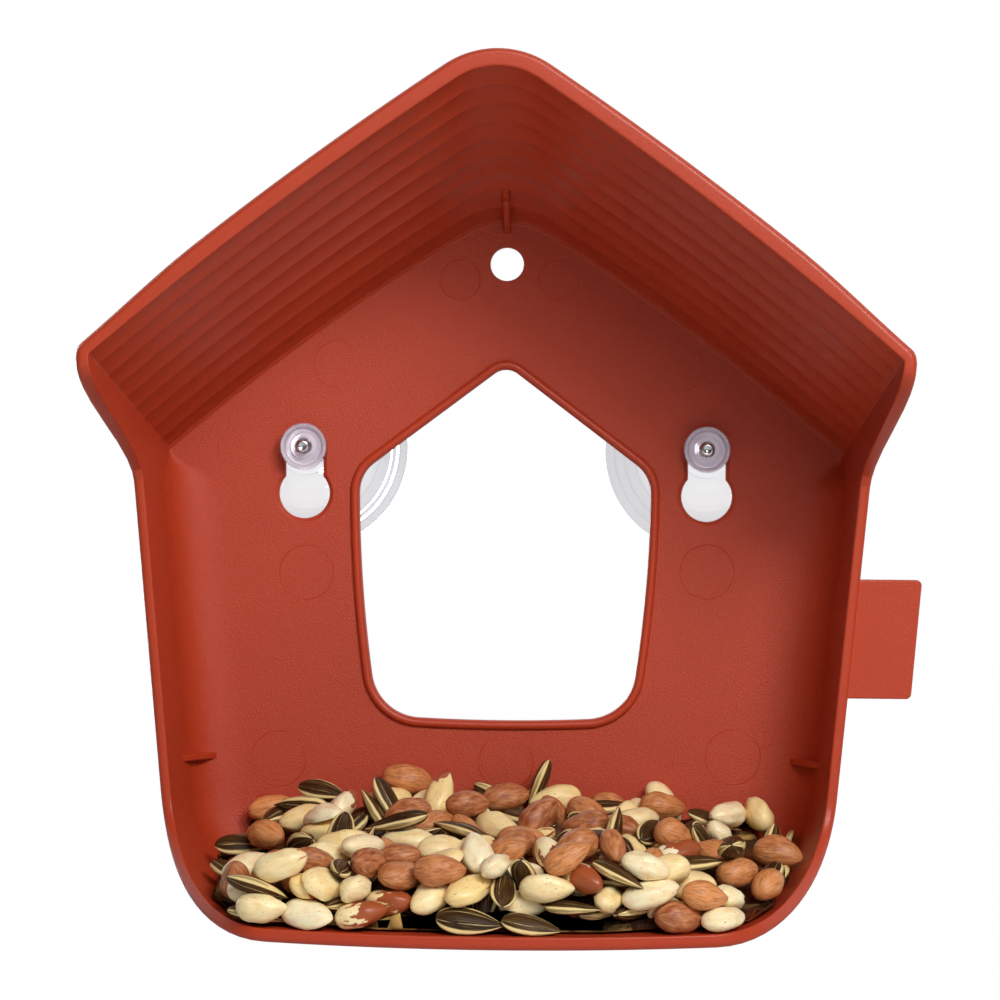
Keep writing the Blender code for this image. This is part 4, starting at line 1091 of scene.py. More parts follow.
def apex_nub():
    reach = PANEL_WALL + APEX_GUSSET_DEPTH
    ridge = house_section(reach)[APEX_STEPS][1]
    low = house_section(PANEL_WALL)[APEX_STEPS][1] - APEX_GUSSET_DROP
    place = Vector((0, -STANDOFF - mix(reach, PANEL_WALL, APEX_NUB_SHARE),
                    mix(ridge, low, APEX_NUB_SHARE)))
    mesh = bpy.data.meshes.new("apex_nub")
    work = bmesh.new()
    bmesh.ops.create_uvsphere(work, u_segments=16, v_segments=10, radius=APEX_NUB_R,
                              matrix=Matrix.Translation(place))
    work.to_mesh(mesh)
    work.free()
    return mesh


def side_gusset(sign):
    """The web between a wall and the panel, on the left for -1 and on the right for 1."""
    reach = PANEL_WALL + SIDE_GUSSET_DEPTH
    root_x = wall_x(SIDE_GUSSET_Z, PANEL_WALL)
    tip_x = wall_x(SIDE_GUSSET_Z, reach)
    centre = (root_x - WALL_FILLET, PANEL_WALL + WALL_FILLET)
    radius = WALL_FILLET + GUSSET_ROOT
    end = -math.acos((WALL_FILLET - SIDE_GUSSET_WIDTH) / radius)
    root = arc(centre, radius, 0, end, GUSSET_STEPS)
    outline = [(tip_x + GUSSET_ROOT, reach)] + root + [(tip_x, reach)]
    half = GUSSET_WALL / 2
    web = prism("side_gusset", outline, SIDE_GUSSET_Z - half, SIDE_GUSSET_Z + half,
                lambda point, level: (sign * point[0], -STANDOFF - point[1], level))
    return bevelled(web, GUSSET_ROUND)


def side_tag():
    """The plate on the right-hand wall's edge, bare on both faces."""
    foot_z = TAG_TOP_Z - TAG_HEIGHT
    depth = DEPTH - SETBACK - TAG_STEP
    top_x = wall_x(TAG_TOP_Z, depth) + wall_at(depth)
    foot_x = wall_x(foot_z, depth) + wall_at(depth)
    far_top = (top_x + TAG_WIDTH, TAG_TOP_Z)
    far_foot = (top_x + TAG_WIDTH - TAG_LEAN, foot_z)
    down = unit((far_foot[0] - far_top[0], far_foot[1] - far_top[1]))
    outline = [(top_x - TAG_ROOT, TAG_TOP_Z)]
    for corner, before, after in ((far_top, (1, 0), down), (far_foot, down, (-1, 0))):
        reach, turn = corner_reach(TAG_CORNER_R, before, after)
        first = (corner[0] - before[0] * reach, corner[1] - before[1] * reach)
        last = (corner[0] + after[0] * reach, corner[1] + after[1] * reach)
        outline += corner_curve(first, before, last, after, turn, ROUND_STEPS)
    outline.append((foot_x - TAG_ROOT, foot_z))
    plate = prism("side_tag", outline, depth - TAG_WALL, depth, on_panel)
    return bevelled(plate, TAG_ROUND)


def keyhole_outline(x, grow):
    slot = SLOT_R + grow
    hole = KEY_R + grow
    meet = math.asin(slot / hole)
    up = math.pi / 2
    lower = arc((x, -KEY_LIFT), hole, up - meet, up + meet - 2 * math.pi, 2 * KEY_STEPS)
    return lower + arc((x, 0), slot, math.pi, 0, KEY_STEPS)


def hole_cutter(outline, round_r):
    """A cutter through the panel that flares out to round the hole's edge in the room."""
    rings = [(-OVERRUN, 0), (PANEL_WALL - round_r, 0)]
    last = math.radians(75)
    for step in range(1, ROUND_STEPS + 1):
        angle = last * step / ROUND_STEPS
        rings.append((PANEL_WALL - round_r * (1 - math.sin(angle)),
                      round_r * (1 - math.cos(angle))))
    beyond = round_r / 4
    rise = PANEL_WALL + beyond - rings[-1][0]
    rings.append((PANEL_WALL + beyond, rings[-1][1] + rise * math.tan(last)))
    rings.append((PANEL_WALL + BEAD_HEIGHT + OVERRUN, rings[-1][1]))
    return ring_mesh("hole", [[on_panel(point, depth) for point in outline(grow)]
                              for depth, grow in rings], caps=True)


def grain_of(points):
    """How much leather grain each point of the shell has: all on the panel, little on walls."""
    depths = -points[:, 1] - STANDOFF
    rise = np.clip((depths - PANEL_WALL) / WALL_FILLET - GRAIN_START, 0, 1)
    grain = 1 - GRAIN_FADE * rise
    beside = window_shoulder_x() + 2 * BEAD_WIDTH
    in_window = ((np.abs(points[:, 0]) < beside) & (points[:, 2] < WINDOW_TOP_Z + 2 * BEAD_WIDTH)
                 & (points[:, 2] > WINDOW_FOOT_Z - 3 * BEAD_WIDTH))
    on_bead = in_window & (depths > PANEL_WALL + BEAD_HEIGHT / 20)
    grain[on_bead] = BEAD_GRAIN
    grain[depths < PANEL_WALL - BEAD_HEIGHT / 20] = BEAD_GRAIN
    return grain


class FeederShellSettings(bpy.types.PropertyGroup):
    """Finish of the moulded house"""

    colour: FloatVectorProperty(
        name="Colour", description="Colour of the plastic", subtype='COLOR', size=3,
        min=0, max=1, default=linear("B33B1D")[:3])
    roughness: FloatProperty(
        name="Roughness", description="How matt the plastic is", default=0.37, min=0, max=1,
        subtype='FACTOR')
    grain_pitch: FloatProperty(
        name="Grain pitch", description="Width of one cell of the panel's leather grain",
        default=0.36 * MM, min=0.2 * MM, max=4 * MM, unit='LENGTH', precision=5)
    grain_depth: FloatProperty(
        name="Grain depth", description="Height of the leather grain", default=0.11 * MM,
        min=0, max=0.5 * MM, unit='LENGTH', precision=6)


class FEEDER_OT_shell(bpy.types.Operator):
    """Models the house: panel, roof with its courses, walls, tray, webs, tag and holes"""

    bl_idname = "feeder.shell"
    bl_label = "House shell"

    def execute(self, context):
        material = moulded_polypropylene(context.scene.feeder_shell)
        shell = new_object("house_shell_moulded", HouseSkin().mesh(), material)
        extras = [apex_gusset(), apex_nub(), side_gusset(-1), side_gusset(1), side_tag()]
        added = []
        for number, mesh in enumerate(extras + [joined("pin_marks", pin_marks())]):
            tool = new_object("add_" + str(number), mesh)
            combine(shell, tool, 'UNION')
            added.append(tool)
        middle = CUP_SPACING / 2
        cutters = [hole_cutter(lambda grow: keyhole_outline(-middle, grow), KEY_ROUND),
                   hole_cutter(lambda grow: keyhole_outline(middle, grow), KEY_ROUND),
                   hole_cutter(lambda grow: arc((0, HOLE_Z), HOLE_R + grow, 0, 2 * math.pi,
                                                2 * KEY_STEPS)[:-1], HOLE_ROUND)]
        tool = new_object("cut_holes", joined("cut_holes", cutters))
        combine(shell, tool, 'DIFFERENCE')
        apply_modifiers(shell, added + [tool])
        smooth(shell.data)
        weigh_normals(shell)
        points = np.array([vertex.co for vertex in shell.data.vertices])
        if len(points) == 0:
            raise RuntimeError("the house has no faces left after its holes were cut")
        add_values(shell.data, "grain", grain_of(points))
        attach(shell, "house")
        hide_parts("house_shell")
        return {'FINISHED'}


# Turned pieces: a profile of radius and distance from the pane
def rounded_profile(points, radius, steps=5):
    """The profile with each corner but the ends rounded, where its sides are long enough."""
    done = [points[0]]
    for before, here, after in zip(points, points[1:], points[2:]):
        into = unit((here[0] - before[0], here[1] - before[1]))
        out = unit((after[0] - here[0], after[1] - here[1]))
        reach = min(radius, 0.45 * distance(before, here), 0.45 * distance(here, after))
        start = (here[0] - into[0] * reach, here[1] - into[1] * reach)
        end = (here[0] + out[0] * reach, here[1] + out[1] * reach)
        for step in range(steps + 1):
            t = step / steps
            done.append(tuple((1 - t) * (1 - t) * start[k] + 2 * t * (1 - t) * here[k]
                              + t * t * end[k] for k in (0, 1)))
    done.append(points[-1])
    return done


def turned_mesh(name, profile, sides, x, radius_at=None, around=False):
    rings = []
    for radius, reach in profile:
        ring = []
        for index in range(sides):
            angle = 2 * math.pi * index / sides
            size = radius_at(radius, reach, angle) if radius_at else radius
            ring.append((x + size * math.cos(angle), -reach, size * math.sin(angle)))
        rings.append(ring)
    return ring_mesh(name, rings, around=around)


def cup_profile():
    """From the hollow's centre over lip, step and dome to the boss, then down the screw's bore."""
    lip = CUP_R - CUP_LIP_WIDTH
    face = STANDOFF - GAP
    boss = STANDOFF + PANEL_WALL - GAP
    bore = SCREW_R + GAP
    head = SCREW_HEAD_R + GAP
    seat = CUP_HOLLOW + SCREW_SEAT
    inner = []
    for step in range(HOLLOW_STEPS + 1):
        share = step / HOLLOW_STEPS
        inner.append((lip * share, CUP_HOLLOW * (1 - share * share)))
    dome_r = lip * 2 / 3
    dome = CUP_HOLLOW * 5 / 9 + CUP_WALL
    step_r = lip - CUP_STEP
    outer = [(CUP_R, 0), (CUP_R, CUP_LIP), (lip, CUP_LIP + 0.3 * MM), (lip - 0.5 * MM, 1.9 * MM),
             (step_r, 2.1 * MM), (step_r - 0.4 * MM, 2.5 * MM), (dome_r, dome),
             (CUP_SHOULDER_R, CUP_SHOULDER_RISE - 1.1 * MM), (NECK_R + 0.5 * MM, CUP_SHOULDER_RISE),
             (NECK_R, CUP_SHOULDER_RISE + 0.5 * MM), (NECK_R, face), (BOSS_R, face),
             (BOSS_R, boss), (bore, boss), (bore, seat + SCREW_HEAD + GAP),
             (head, seat + SCREW_HEAD + GAP), (head, seat - GAP), (0, seat - GAP)]
    return inner + rounded_profile([inner[-1]] + outer, EDGE_ROUND)[1:]


def nut_profile():
    """From the bore's back over the knurled edge and the dished face to the bore's front."""
    back = STANDOFF + PANEL_WALL + GAP
    front = back + NUT_DEPTH
    bore = SCREW_R + GAP
    inner = NUT_R - NUT_RIM
    floor = front - NUT_DISH
    hub = floor + NUT_HUB_RISE
    lead = NUT_LEAD
    sides = [(NUT_R, back + lead + (NUT_DEPTH - 2 * lead) * step / NUT_SIDE_STEPS)
             for step in range(NUT_SIDE_STEPS + 1)]
    points = [(bore, back), (NUT_R - NUT_TOOTH - lead, back)] + sides
    points += [(NUT_R - NUT_EDGE, front), (inner, front - lead), (inner - lead, floor),
               (NUT_HUB_R, floor), (NUT_HUB_R - lead, hub - 0.3 * MM),
               (NUT_HUB_R - 2 * lead, hub), (bore + 0.3 * MM, hub), (bore, hub - 0.3 * MM)]
    return rounded_profile(points, NUT_ROUND, 3)


class FeederFixingsSettings(bpy.types.PropertyGroup):
    """Teeth and tint of the thumb nuts"""

    teeth: IntProperty(
        name="Teeth", description="Teeth of the knurl round each thumb nut", default=56,
        min=12, max=120)
    nut_tint: FloatVectorProperty(
        name="Nut tint", description="Colour that the clear thumb nuts give to light",
        subtype='COLOR', size=3, min=0, max=1, default=linear("FAF2FE")[:3])


class FEEDER_OT_cups(bpy.types.Operator):
    """Models the two clear suction cups with lip, dome, neck and boss"""

    bl_idname = "feeder.cups"
    bl_label = "Suction cups"

    def execute(self, context):
        material = clear_vinyl()
        for side, x in (("left", -CUP_SPACING / 2), ("right", CUP_SPACING / 2)):
            node = "suction_cup_" + side
            cup = new_object(node + "_clear", turned_mesh(node, cup_profile(), CUP_SIDES, x),
                             material)
            smooth(cup.data, math.radians(40))
            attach(cup, "pane_side")
            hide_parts(node)
        return {'FINISHED'}


class FEEDER_OT_screws(bpy.types.Operator):
    """Models the two threaded screws that stand in the cups' necks"""

    bl_idname = "feeder.screws"
    bl_label = "Screws"

    def execute(self, context):
        material = zinc_plated_steel()
        for side, x in (("left", -CUP_SPACING / 2), ("right", CUP_SPACING / 2)):
            node = "screw_" + side
            end = -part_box(node)[0].y
            screw = new_object(node + "_threaded", self.mesh(node, x, end), material)
            smooth(screw.data, TURNED_ANGLE)
            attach(screw, "pane_side")
            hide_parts(node)
        return {'FINISHED'}

    def mesh(self, node, x, end):
        back = CUP_HOLLOW + SCREW_SEAT
        crown = back + SCREW_HEAD
        lead = 0.5 * MM
        head = rounded_profile([(0, back), (SCREW_HEAD_R, back), (SCREW_HEAD_R, crown),
                                (SCREW_R, crown)], EDGE_ROUND)
        rows = int((end - crown) / THREAD_PITCH * THREAD_STEPS)
        shank = [(SCREW_R, mix(crown, end - lead / 4, row / rows)) for row in range(1, rows + 1)]
        tip = [(SCREW_R - 1.5 * lead, end), (SCREW_R / 2, end), (SCREW_R * 0.42, end - lead / 3),
               (0, end - lead / 2)]

        def thread(radius, reach, angle):
            if radius != SCREW_R or reach <= crown:
                return radius
            phase = (reach / THREAD_PITCH - angle / (2 * math.pi)) % 1
            flank = min(1, max(0, 1.25 * abs(2 * phase - 1) - 0.12))
            cut = radius - THREAD_DEPTH * flank
            return min(cut, SCREW_R - max(0, lead - (end - reach)))

        return turned_mesh(node, head[:-1] + shank + tip, SCREW_SIDES, x, thread)


class FEEDER_OT_nuts(bpy.types.Operator):
    """Models the two clear thumb nuts with their knurl, dish and hub"""

    bl_idname = "feeder.nuts"
    bl_label = "Thumb nuts"

    def execute(self, context):
        settings = context.scene.feeder_fixings
        material = clear_polystyrene(settings)

        def knurl(radius, reach, angle):
            outer = max(0, min(1, (radius - NUT_R + 2 * NUT_TOOTH) / NUT_TOOTH))
            return radius - NUT_TOOTH * outer * abs(math.sin(settings.teeth * angle / 2))

        for side, x in (("left", -CUP_SPACING / 2), ("right", CUP_SPACING / 2)):
            node = "thumb_nut_" + side
            mesh = turned_mesh(node, nut_profile(), 8 * settings.teeth, x, knurl, around=True)
            nut = new_object(node + "_knurled", mesh, material)
            smooth(nut.data, TURNED_ANGLE)
            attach(nut, "nut_" + side)
            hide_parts(node)
        return {'FINISHED'}


# Feed: what the photo shows, as sort, picture x and y, and heading in degrees from the right.
# s is a sunflower seed, p a peanut in its skin, b a blanched peanut, h half of one with its
# flat face out, and w a peanut that has lost part of its skin.
SEEN_KERNELS_PX = (
    ("p", 399, 767, 25), ("s", 382, 782, -8), ("h", 436, 779, 30), ("s", 380, 811, 95),
    ("s", 401, 811, 95), ("s", 426, 793, 45), ("p", 423, 816, 0), ("p", 276, 806, 0),
    ("h", 316, 802, 10), ("s", 321, 811, 15), ("w", 354, 821, 60), ("s", 230, 826, -50),
    ("s", 259, 836, 20), ("s", 288, 831, 10), ("h", 316, 832, 80), ("s", 304, 854, 10),
    ("s", 371, 850, 60), ("p", 434, 847, 15), ("s", 427, 832, 5), ("s", 409, 867, -8),
    ("s", 228, 856, -35), ("w", 267, 861, -20), ("b", 319, 869, 30), ("p", 249, 877, 80),
    ("s", 224, 883, -45), ("b", 341, 883, 0), ("b", 334, 902, 40), ("b", 280, 894, 10),
    ("p", 399, 877, 0), ("p", 390, 904, 30), ("s", 351, 904, 38), ("b", 425, 891, 10),
    ("b", 464, 875, 30), ("b", 458, 898, 30), ("b", 477, 910, 15), ("s", 253, 911, -20),
    ("b", 306, 918, -10), ("w", 353, 924, 0), ("w", 382, 921, -20), ("s", 423, 906, 10),
    ("s", 419, 924, 0), ("s", 467, 927, 3), ("p", 460, 821, 40), ("p", 483, 828, 0),
    ("b", 465, 801, 20), ("s", 491, 795, 30), ("b", 479, 854, 10), ("s", 493, 879, 60),
    ("p", 308, 902, 0), ("s", 566, 789, 15), ("p", 609, 788, 25), ("s", 515, 800, 35),
    ("s", 535, 823, -35), ("p", 545, 817, 0), ("p", 570, 807, 20), ("b", 605, 810, -25),
    ("h", 640, 801, 30), ("b", 677, 793, 10), ("p", 667, 817, -5), ("p", 582, 824, 0),
    ("s", 707, 791, 50), ("b", 730, 791, 80), ("b", 716, 828, 0), ("b", 745, 832, 60),
    ("s", 743, 807, -35), ("w", 772, 836, 70), ("s", 782, 821, 60), ("s", 751, 844, 35),
    ("s", 599, 837, 20), ("s", 624, 836, 60), ("p", 640, 826, 0), ("s", 679, 840, 15),
    ("h", 640, 850, 90), ("w", 597, 857, -5), ("s", 552, 854, 65), ("b", 510, 832, 80),
    ("b", 527, 856, 20), ("p", 576, 875, 30), ("w", 531, 885, -35), ("s", 650, 865, 10),
    ("s", 615, 887, 8), ("p", 669, 850, 60), ("w", 693, 854, 20), ("s", 696, 875, -5),
    ("s", 726, 856, -60), ("s", 731, 875, 50), ("p", 759, 877, 70), ("p", 774, 863, 40),
    ("b", 667, 889, 70), ("b", 714, 895, 10), ("b", 743, 902, 20), ("b", 708, 916, 20),
    ("p", 675, 916, 0), ("s", 646, 918, 50), ("s", 578, 918, -5), ("b", 617, 906, 0),
    ("p", 568, 898, 20), ("s", 535, 928, 0), ("b", 525, 910, 0), ("s", 506, 910, 90),
    ("s", 615, 925, 0))
KERNEL_SORTS = {"s": "sunflower_seed", "p": "peanut", "b": "blanched_peanut",
                "h": "blanched_peanut", "w": "blanched_peanut"}
# How each sort narrows towards its tip and its butt: a half is 0.5, a point is nearer 1
TIP_SHARES = {"sunflower_seed": (0.84, 0.52), "peanut": (0.60, 0.47),
              "blanched_peanut": (0.58, 0.46)}
LUMP_SHARES = {"sunflower_seed": 0.05, "peanut": 0.12, "blanched_peanut": 0.17}
LYING_FACTORS = (0.9, 1.08)
LYING_SHARE = 0.98
LOOSE_FACTORS = (0.86, 1.04)
WRINKLE_SHARES = {"sunflower_seed": 0.02, "peanut": 0.07, "blanched_peanut": 0.09}
TOP_LAYER_RISE = 4.0 * MM
STEEPEST_SHARE = 1.2
WALL_REST = 7.0 * MM
RIM_REST = 6.0 * MM
TRAY_MIDDLE_Z = -90.0 * MM
TRAY_GAP = 7.0 * MM
BED_DROP = 1.2 * MM
BED_LUMP = 2.4 * MM
BED_LUMP_PITCH = 8.0 * MM
BED_CUTS = 3
BED_FRONT_DROP = 3.5 * MM
BED_FRONT_RUN = 16.0 * MM
BED_SKIN = 0.4 * MM
CLOSEST_SHARE = 0.92
LIFT_STEP = 0.5 * MM

# Fillers: their sorts in turn, which of them go on the heap, and how the rest lie at the rim
FILLER_LETTERS = "sbhpbwbpp"
HEAP_EVERY = 4
GOLDEN_SHARE = 0.618
FILLER_REACH = 2.0 * MM
FILLER_RISE = 7.0 * MM
FILLER_TURN = 0.4

# Settling of the loose kernels: a hundred times life size, which suits the solver
BIG = 100
FALL = -98.0
SOLVER_MARGIN = 0.012
SOLVER_ITERATIONS = 20
SOLVER_SIDES = 10
SOLVER_RINGS = 8
FRICTION = 0.75
SLIDE_DAMPING = 0.25
TURN_DAMPING = 0.45
SUBSTEPS = 12
BARRIER = 4.0 * MM
BARRIER_INSET = 1.4 * MM


class Kernel:
    """One kernel: its sort, form, size factor, tone and kept skin, and its place."""

    def __init__(self, letter, rng, place, factors=LYING_FACTORS):
        self.letter = letter
        self.sort = KERNEL_SORTS[letter]
        factor = rng.uniform(*factors)
        length, width, thickness = KERNEL_SIZES[self.sort]
        if letter == "h":
            thickness *= 1.1
        self.size = (length * factor, width * factor * rng.uniform(0.92, 1.08),
                     thickness * factor * rng.uniform(0.9, 1.05))
        self.tone = rng.random()
        self.skin = {"w": rng.uniform(0.35, 0.6), "b": rng.uniform(-0.2, 0.28)}.get(letter, -1)
        self.tip = rng.uniform(0.88, 1.25)
        self.twist = rng.uniform(-1, 1)
        self.phase = rng.uniform(0, 40)
        self.place = place

    def surface(self, sides=KERNEL_SIDES, rings=KERNEL_RINGS):
        """Points about the kernel's own centre, with their place on it as shares."""
        tip, butt = TIP_SHARES[self.sort]
        tip *= self.tip
        peak = (butt - tip) / (butt + tip)
        most = (1 - peak) ** tip * (1 + peak) ** butt
        points = []
        shares = []
        for ring in range(rings + 1):
            along = -math.cos(math.pi * ring / rings)
            girth = max(0, 1 - along) ** tip * max(0, 1 + along) ** butt / most
            count = 1 if ring in (0, rings) else sides
            for index in range(count):
                angle = 2 * math.pi * index / sides
                across = math.cos(angle)
                rise = math.sin(angle)
                points.append(self.bent(along, girth, across, rise))
                shares.append((along, across, rise))
        return points, shares

    def bent(self, along, girth, across, rise):
        """A point of the surface with the kernel's own crease, lumps and curve."""
        half = [value / 2 for value in self.size]
        wide = across
        high = rise
        if self.sort == "sunflower_seed":
            high = rise * (1 - 0.32 * across * across)
            high *= 1 + 0.10 * math.exp(-(across / 0.2) ** 2)
        elif self.letter == "h" and rise < 0:
            high = rise * 0.1 + 0.16 * math.exp(-(across / 0.28) ** 2) * (1 - along * along)
        elif self.sort == "blanched_peanut":
            dent = 0.07 * math.exp(-(rise / 0.13) ** 2)
            wide *= 1 - dent
        point = Vector((along * half[0], wide * girth * half[1], high * girth * half[2]))
        seat = Vector((along * 1.6 + self.phase, across * 1.3, rise * 1.3))
        lump = noise.noise(seat) * LUMP_SHARES[self.sort]
        seat = Vector((along * 2.6 + self.phase, across * 3.4, rise * 3.4))
        lump += WRINKLE_SHARES[self.sort] * (abs(noise.noise(seat)) - 0.3)
        point.y *= 1 + lump
        point.z *= 1 + lump
        sway = self.twist * (0.05 if self.sort == "sunflower_seed" else 0.14)
        point.y += sway * half[1] * (1 - along * along)
        return point

    def faces(self, sides=KERNEL_SIDES, rings=KERNEL_RINGS):
        count = 2 + (rings - 1) * sides
        last = count - 1
        faces = []
        for index in range(sides):
            after = (index + 1) % sides
            faces.append((0, 1 + after, 1 + index))
            faces.append((last, last - sides + index, last - sides + after))
            for ring in range(rings - 2):
                low = 1 + ring * sides
                high = low + sides
                faces.append((low + index, low + after, high + after, high + index))
        return [tuple(reversed(face)) for face in faces]


def kernel_mesh(name, kernels):
    """One mesh of several kernels, each turned and moved to its place."""
    points = []
    faces = []
    shares = []
    tones = []
    skins = []
    for kernel in kernels:
        start = len(points)
        surface, places = kernel.surface()
        points += [kernel.place @ point for point in surface]
        faces += [tuple(start + index for index in face) for face in kernel.faces()]
        shares += places
        tones += [kernel.tone] * len(surface)
        skins += [kernel.skin] * len(surface)
    mesh = bpy.data.meshes.new(name)
    mesh.from_pydata([tuple(point) for point in points], [], faces)
    work = bmesh.new()
    work.from_mesh(mesh)
    bmesh.ops.recalc_face_normals(work, faces=work.faces)
    work.to_mesh(mesh)
    work.free()
    add_values(mesh, "seed_place", shares, 'FLOAT_VECTOR')
    add_values(mesh, "seed_tone", tones)
    add_values(mesh, "seed_skin", skins)
    smooth(mesh, KERNEL_ANGLE)
    return mesh


def placed_as(node):
    """Where a kernel of the frame lies: its centre and its long, wide and thick directions."""
    points = np.array([vertex.co for vertex in node.data.vertices], float)
    points = np.unique(np.round(points, 7), axis=0)
    centre = points.mean(0)
    axes = np.linalg.eigh(np.cov((points - centre).T))[1]
    long_axis = axes[:, 2]
    along = (points - centre) @ long_axis
    if (along ** 3).sum() < 0:
        long_axis = -long_axis
    long_axis = Vector(long_axis)
    thick = Vector(axes[:, 0])
    if thick.z < 0:
        thick = -thick
    middle = Vector((points.max(0) + points.min(0)) / 2)
    wide = thick.cross(long_axis).normalized()
    turn = Matrix((long_axis, wide, thick)).transposed().to_4x4()
    return Matrix.Translation(middle) @ turn


def bvh_of(thing):
    points = [vertex.co for vertex in thing.data.vertices]
    return BVHTree.FromPolygons(points, [tuple(face.vertices) for face in thing.data.polygons])


def seen_place(x, y, heading, bed):
    """Where a kernel that the picture shows lies on the bed, as it looks before it settles."""
    eye, ray = picture_ray(x, y)
    rise = Vector((0, 0, TOP_LAYER_RISE))
    hit, normal = bed.ray_cast(eye - rise, ray)[:2]
    if hit:
        spot = hit + rise
    else:
        spot = picture_point(x, y, PANEL_WALL + WALL_REST)
        if spot.z < FLOOR_BACK_Z:
            spot = picture_point(x, y, DEPTH - RIM_REST)
        normal = Vector((0, -0.25, 1)).normalized()
    if normal.z < 0.5:
        normal = Vector((0, -0.3, 1)).normalized()
    right, up, forward = camera_axes()[1:]
    turn = math.radians(heading)
    flat = right * math.cos(turn) + up * math.sin(turn)
    lean = -flat.dot(normal) / forward.dot(normal)
    lean = max(-STEEPEST_SHARE, min(STEEPEST_SHARE, lean))
    along = (flat + forward * lean).normalized()
    thick = (normal - along * normal.dot(along)).normalized()
    wide = thick.cross(along)
    return Matrix.Translation(spot) @ Matrix((along, wide, thick)).transposed().to_4x4()


def drawn_inside(kernels):
    """Draws kernels that come near the tray's walls or floor back towards its middle."""
    shell = bvh_of(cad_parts["house_shell"])
    for kernel in kernels:
        spot = kernel.place.translation
        middle = Vector((0, spot.y, TRAY_MIDDLE_Z))
        way = spot - middle
        distance = shell.ray_cast(middle, way.normalized())[3]
        if distance and way.length > distance - TRAY_GAP:
            kernel.place.translation = middle + way.normalized() * (distance - TRAY_GAP)


def raised_clear(kernels, fixed):
    """Lifts the kernels one by one until their middles keep clear of those below them."""
    taken = [(kernel.place.translation.copy(), kernel.size[1] / 2) for kernel in fixed]
    for kernel in sorted(kernels, key=lambda item: item.place.translation.z):
        spot = kernel.place.translation
        girth = kernel.size[1] / 2
        blocked = True
        while blocked:
            blocked = any((spot - other).length < CLOSEST_SHARE * (girth + size)
                          for other, size in taken)
            if blocked:
                spot.z += LIFT_STEP
        kernel.place.translation = spot
        taken.append((spot.copy(), girth))


def solver_body(name, points, faces, place, kind, shape):
    """An object a hundred times life size that takes part in the settling."""
    mesh = bpy.data.meshes.new(name)
    mesh.from_pydata([tuple(Vector(point) * BIG) for point in points], [], faces)
    thing = new_object(name, mesh)
    thing.matrix_world = Matrix.Translation(place.translation * BIG) @ place.to_3x3().to_4x4()
    bpy.context.view_layer.objects.active = thing
    bpy.ops.rigidbody.object_add(type=kind)
    body = thing.rigid_body
    body.collision_shape = shape
    body.friction = FRICTION
    body.restitution = 0.0
    body.use_margin = True
    body.collision_margin = SOLVER_MARGIN
    body.linear_damping = SLIDE_DAMPING
    body.angular_damping = TURN_DAMPING
    return thing


def coarse_body(name, kernel, kind):
    points = kernel.surface(SOLVER_SIDES, SOLVER_RINGS)[0]
    faces = kernel.faces(SOLVER_SIDES, SOLVER_RINGS)
    return solver_body(name, points, faces, kernel.place, kind, 'CONVEX_HULL')


def box_points(low, high):
    corners = [(x, y, z) for x in (low[0], high[0]) for y in (low[1], high[1])
               for z in (low[2], high[2])]
    faces = [(0, 1, 3, 2), (4, 6, 7, 5), (0, 4, 5, 1), (2, 3, 7, 6), (0, 2, 6, 4), (1, 5, 7, 3)]
    return corners, faces


def settle(kernels, fixed, bed_mesh, frames, substeps):
    """Lets the loose kernels fall and come to rest in the tray, and gives them those places."""
    scene = bpy.context.scene
    level = scene.gravity.copy()
    scene.gravity = (0, 0, FALL)
    bpy.ops.rigidbody.world_add()
    world = scene.rigidbody_world
    world.substeps_per_frame = substeps
    world.solver_iterations = SOLVER_ITERATIONS
    world.point_cache.frame_start = 1
    world.point_cache.frame_end = frames
    still = Matrix.Identity(4)
    helpers = []
    for source in (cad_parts["house_shell"].data, bed_mesh):
        points = [vertex.co.copy() for vertex in source.vertices]
        faces = [tuple(face.vertices) for face in source.polygons]
        helpers.append(solver_body("still", points, faces, still, 'PASSIVE', 'MESH'))
    front = -STANDOFF - DEPTH + BARRIER_INSET
    corners, faces = box_points((-EAVE_FRONT_X, front - BARRIER, FLOOR_FRONT_Z - BARRIER),
                                (EAVE_FRONT_X, front, 0))
    helpers.append(solver_body("front", corners, faces, still, 'PASSIVE', 'MESH'))
    helpers += [coarse_body("lying", kernel, 'PASSIVE') for kernel in fixed]
    loose = [coarse_body("loose", kernel, 'ACTIVE') for kernel in kernels]
    for number in range(1, frames + 1):
        scene.frame_set(number)
    for kernel, thing in zip(kernels, loose):
        place = thing.matrix_world.copy()
        kernel.place = Matrix.Translation(place.translation / BIG) @ place.to_3x3().to_4x4()
    bpy.ops.rigidbody.world_remove()
    for thing in helpers + loose:
        mesh = thing.data
        bpy.data.objects.remove(thing, do_unlink=True)
        bpy.data.meshes.remove(mesh)
    scene.gravity = level
    scene.frame_set(1)


def in_tray(kernel):
    spot = kernel.place.translation
    return (abs(spot.x) < FLOOR_FRONT_X and spot.z > FLOOR_FRONT_Z
            and -STANDOFF - DEPTH < spot.y < -STANDOFF - PANEL_WALL)


